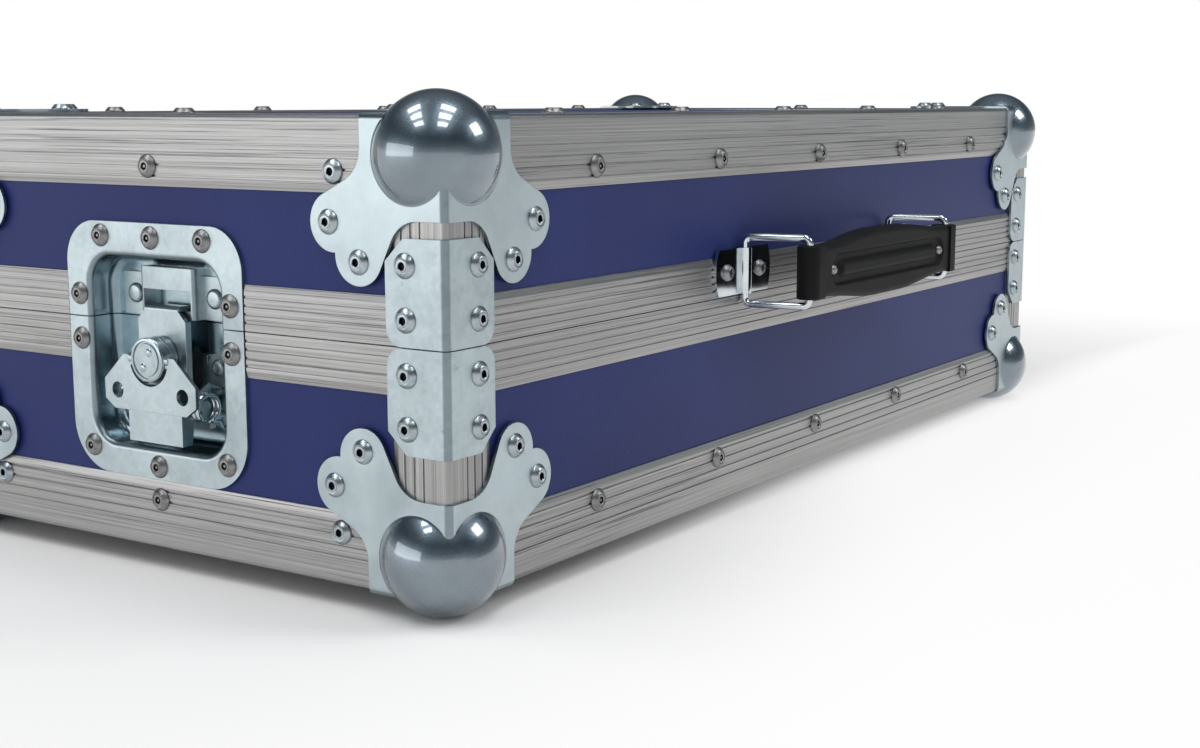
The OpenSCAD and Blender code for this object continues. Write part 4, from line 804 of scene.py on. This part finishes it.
def makeFloor(p):
    mesh = bpy.data.meshes.new("floor")
    r = p["half"]
    mesh.from_pydata([(-r, -r, 0), (r, -r, 0), (r, r, 0), (-r, r, 0)], [], [(0, 1, 2, 3)])
    floor = addObject("floor", mesh)
    mat, tree, skin = newMaterial("floorPaper")
    feed(tree, skin, {"Base Color": p["tone"], "Roughness": p["roughness"], "Specular IOR Level": p["gloss"]})
    place = coordinates(tree)
    far = shareOf(tree, vectorMath(tree, "LENGTH", place)["Value"], *p["fade"], curve="SMOOTHSTEP")
    beside = vectorMath(tree, "DISTANCE", place, p["frontMiddle"])["Value"]
    front = shareOf(tree, beside, *p["frontFade"], top=p["frontMost"], curve="SMOOTHSTEP")
    clear = shareOf(tree, partsOf(tree, place)[1], *p["frontShadow"], curve="SMOOTHSTEP")
    pale = mathOf(tree, "MAXIMUM", far, mathOf(tree, "MULTIPLY", front, clear))
    seen = seenShare(tree, addNode(tree, "LightPath").outputs)
    white = addNode(tree, "Emission", {"Color": (1, 1, 1, 1), "Strength": 1.0})
    sockets = {0: mathOf(tree, "MULTIPLY", seen, pale), 1: skin.outputs[0], 2: white.outputs[0]}
    both = addNode(tree, "MixShader", sockets)
    tree.links.new(both.outputs[0], tree.nodes["Material Output"].inputs[0])
    mesh.materials.append(mat)


def addLamp(name, place, turn, size, power):
    lamp = bpy.data.lights.new(name, "AREA")
    lamp.shape = "RECTANGLE"
    lamp.size, lamp.size_y = size
    lamp.energy = power
    holder = addObject(name, lamp)
    holder.location = place
    holder.rotation_euler = turn
    holder.visible_camera = False


# two rows of three panels overhead, as the balls show them
def hangCeiling(c):
    turn = math.radians(c["heading"])
    for row, (x, y) in enumerate(c["rows"]):
        for i in (-1, 0, 1):
            along = i * c["step"]
            place = (x + along * math.cos(turn), y + along * math.sin(turn), c["high"])
            addLamp(f"panel{row}{i + 1}", place, (0, 0, turn), c["size"], c["power"])


def makeWorld(s):
    world = bpy.data.worlds.new("studio")
    world.use_nodes = True
    bpy.context.scene.world = world
    tree = world.node_tree
    path = addNode(tree, "LightPath").outputs
    place = coordinates(tree, "Generated")
    up = partsOf(tree, place)[2]
    shaded = shareOf(tree, vectorMath(tree, "DOT_PRODUCT", place, s["darkSide"])["Value"], *s["darkFade"])
    shaded = mathOf(tree, "MULTIPLY", shaded, mathOf(tree, "SUBTRACT", 1.0, path["Is Camera Ray"]))
    tone = blendColor(tree, "MIX", shaded, rampOf(tree, up, s["tones"]), rampOf(tree, up, s["darkTones"]))
    tone = blendColor(tree, "MIX", seenShare(tree, path), s["light"], tone)
    feed(tree, tree.nodes["Background"], {"Color": tone, "Strength": 1.0})


makeFloor(paper)
for one in lamps:
    turn = (lampAim - Vector(one["place"])).to_track_quat("-Z", "Y").to_euler()
    addLamp(one["name"], one["place"], turn, one["size"], one["power"])
hangCeiling(ceiling)
makeWorld(sky)
bpy.context.scene.view_settings.view_transform = "Standard"
print("studio lit")
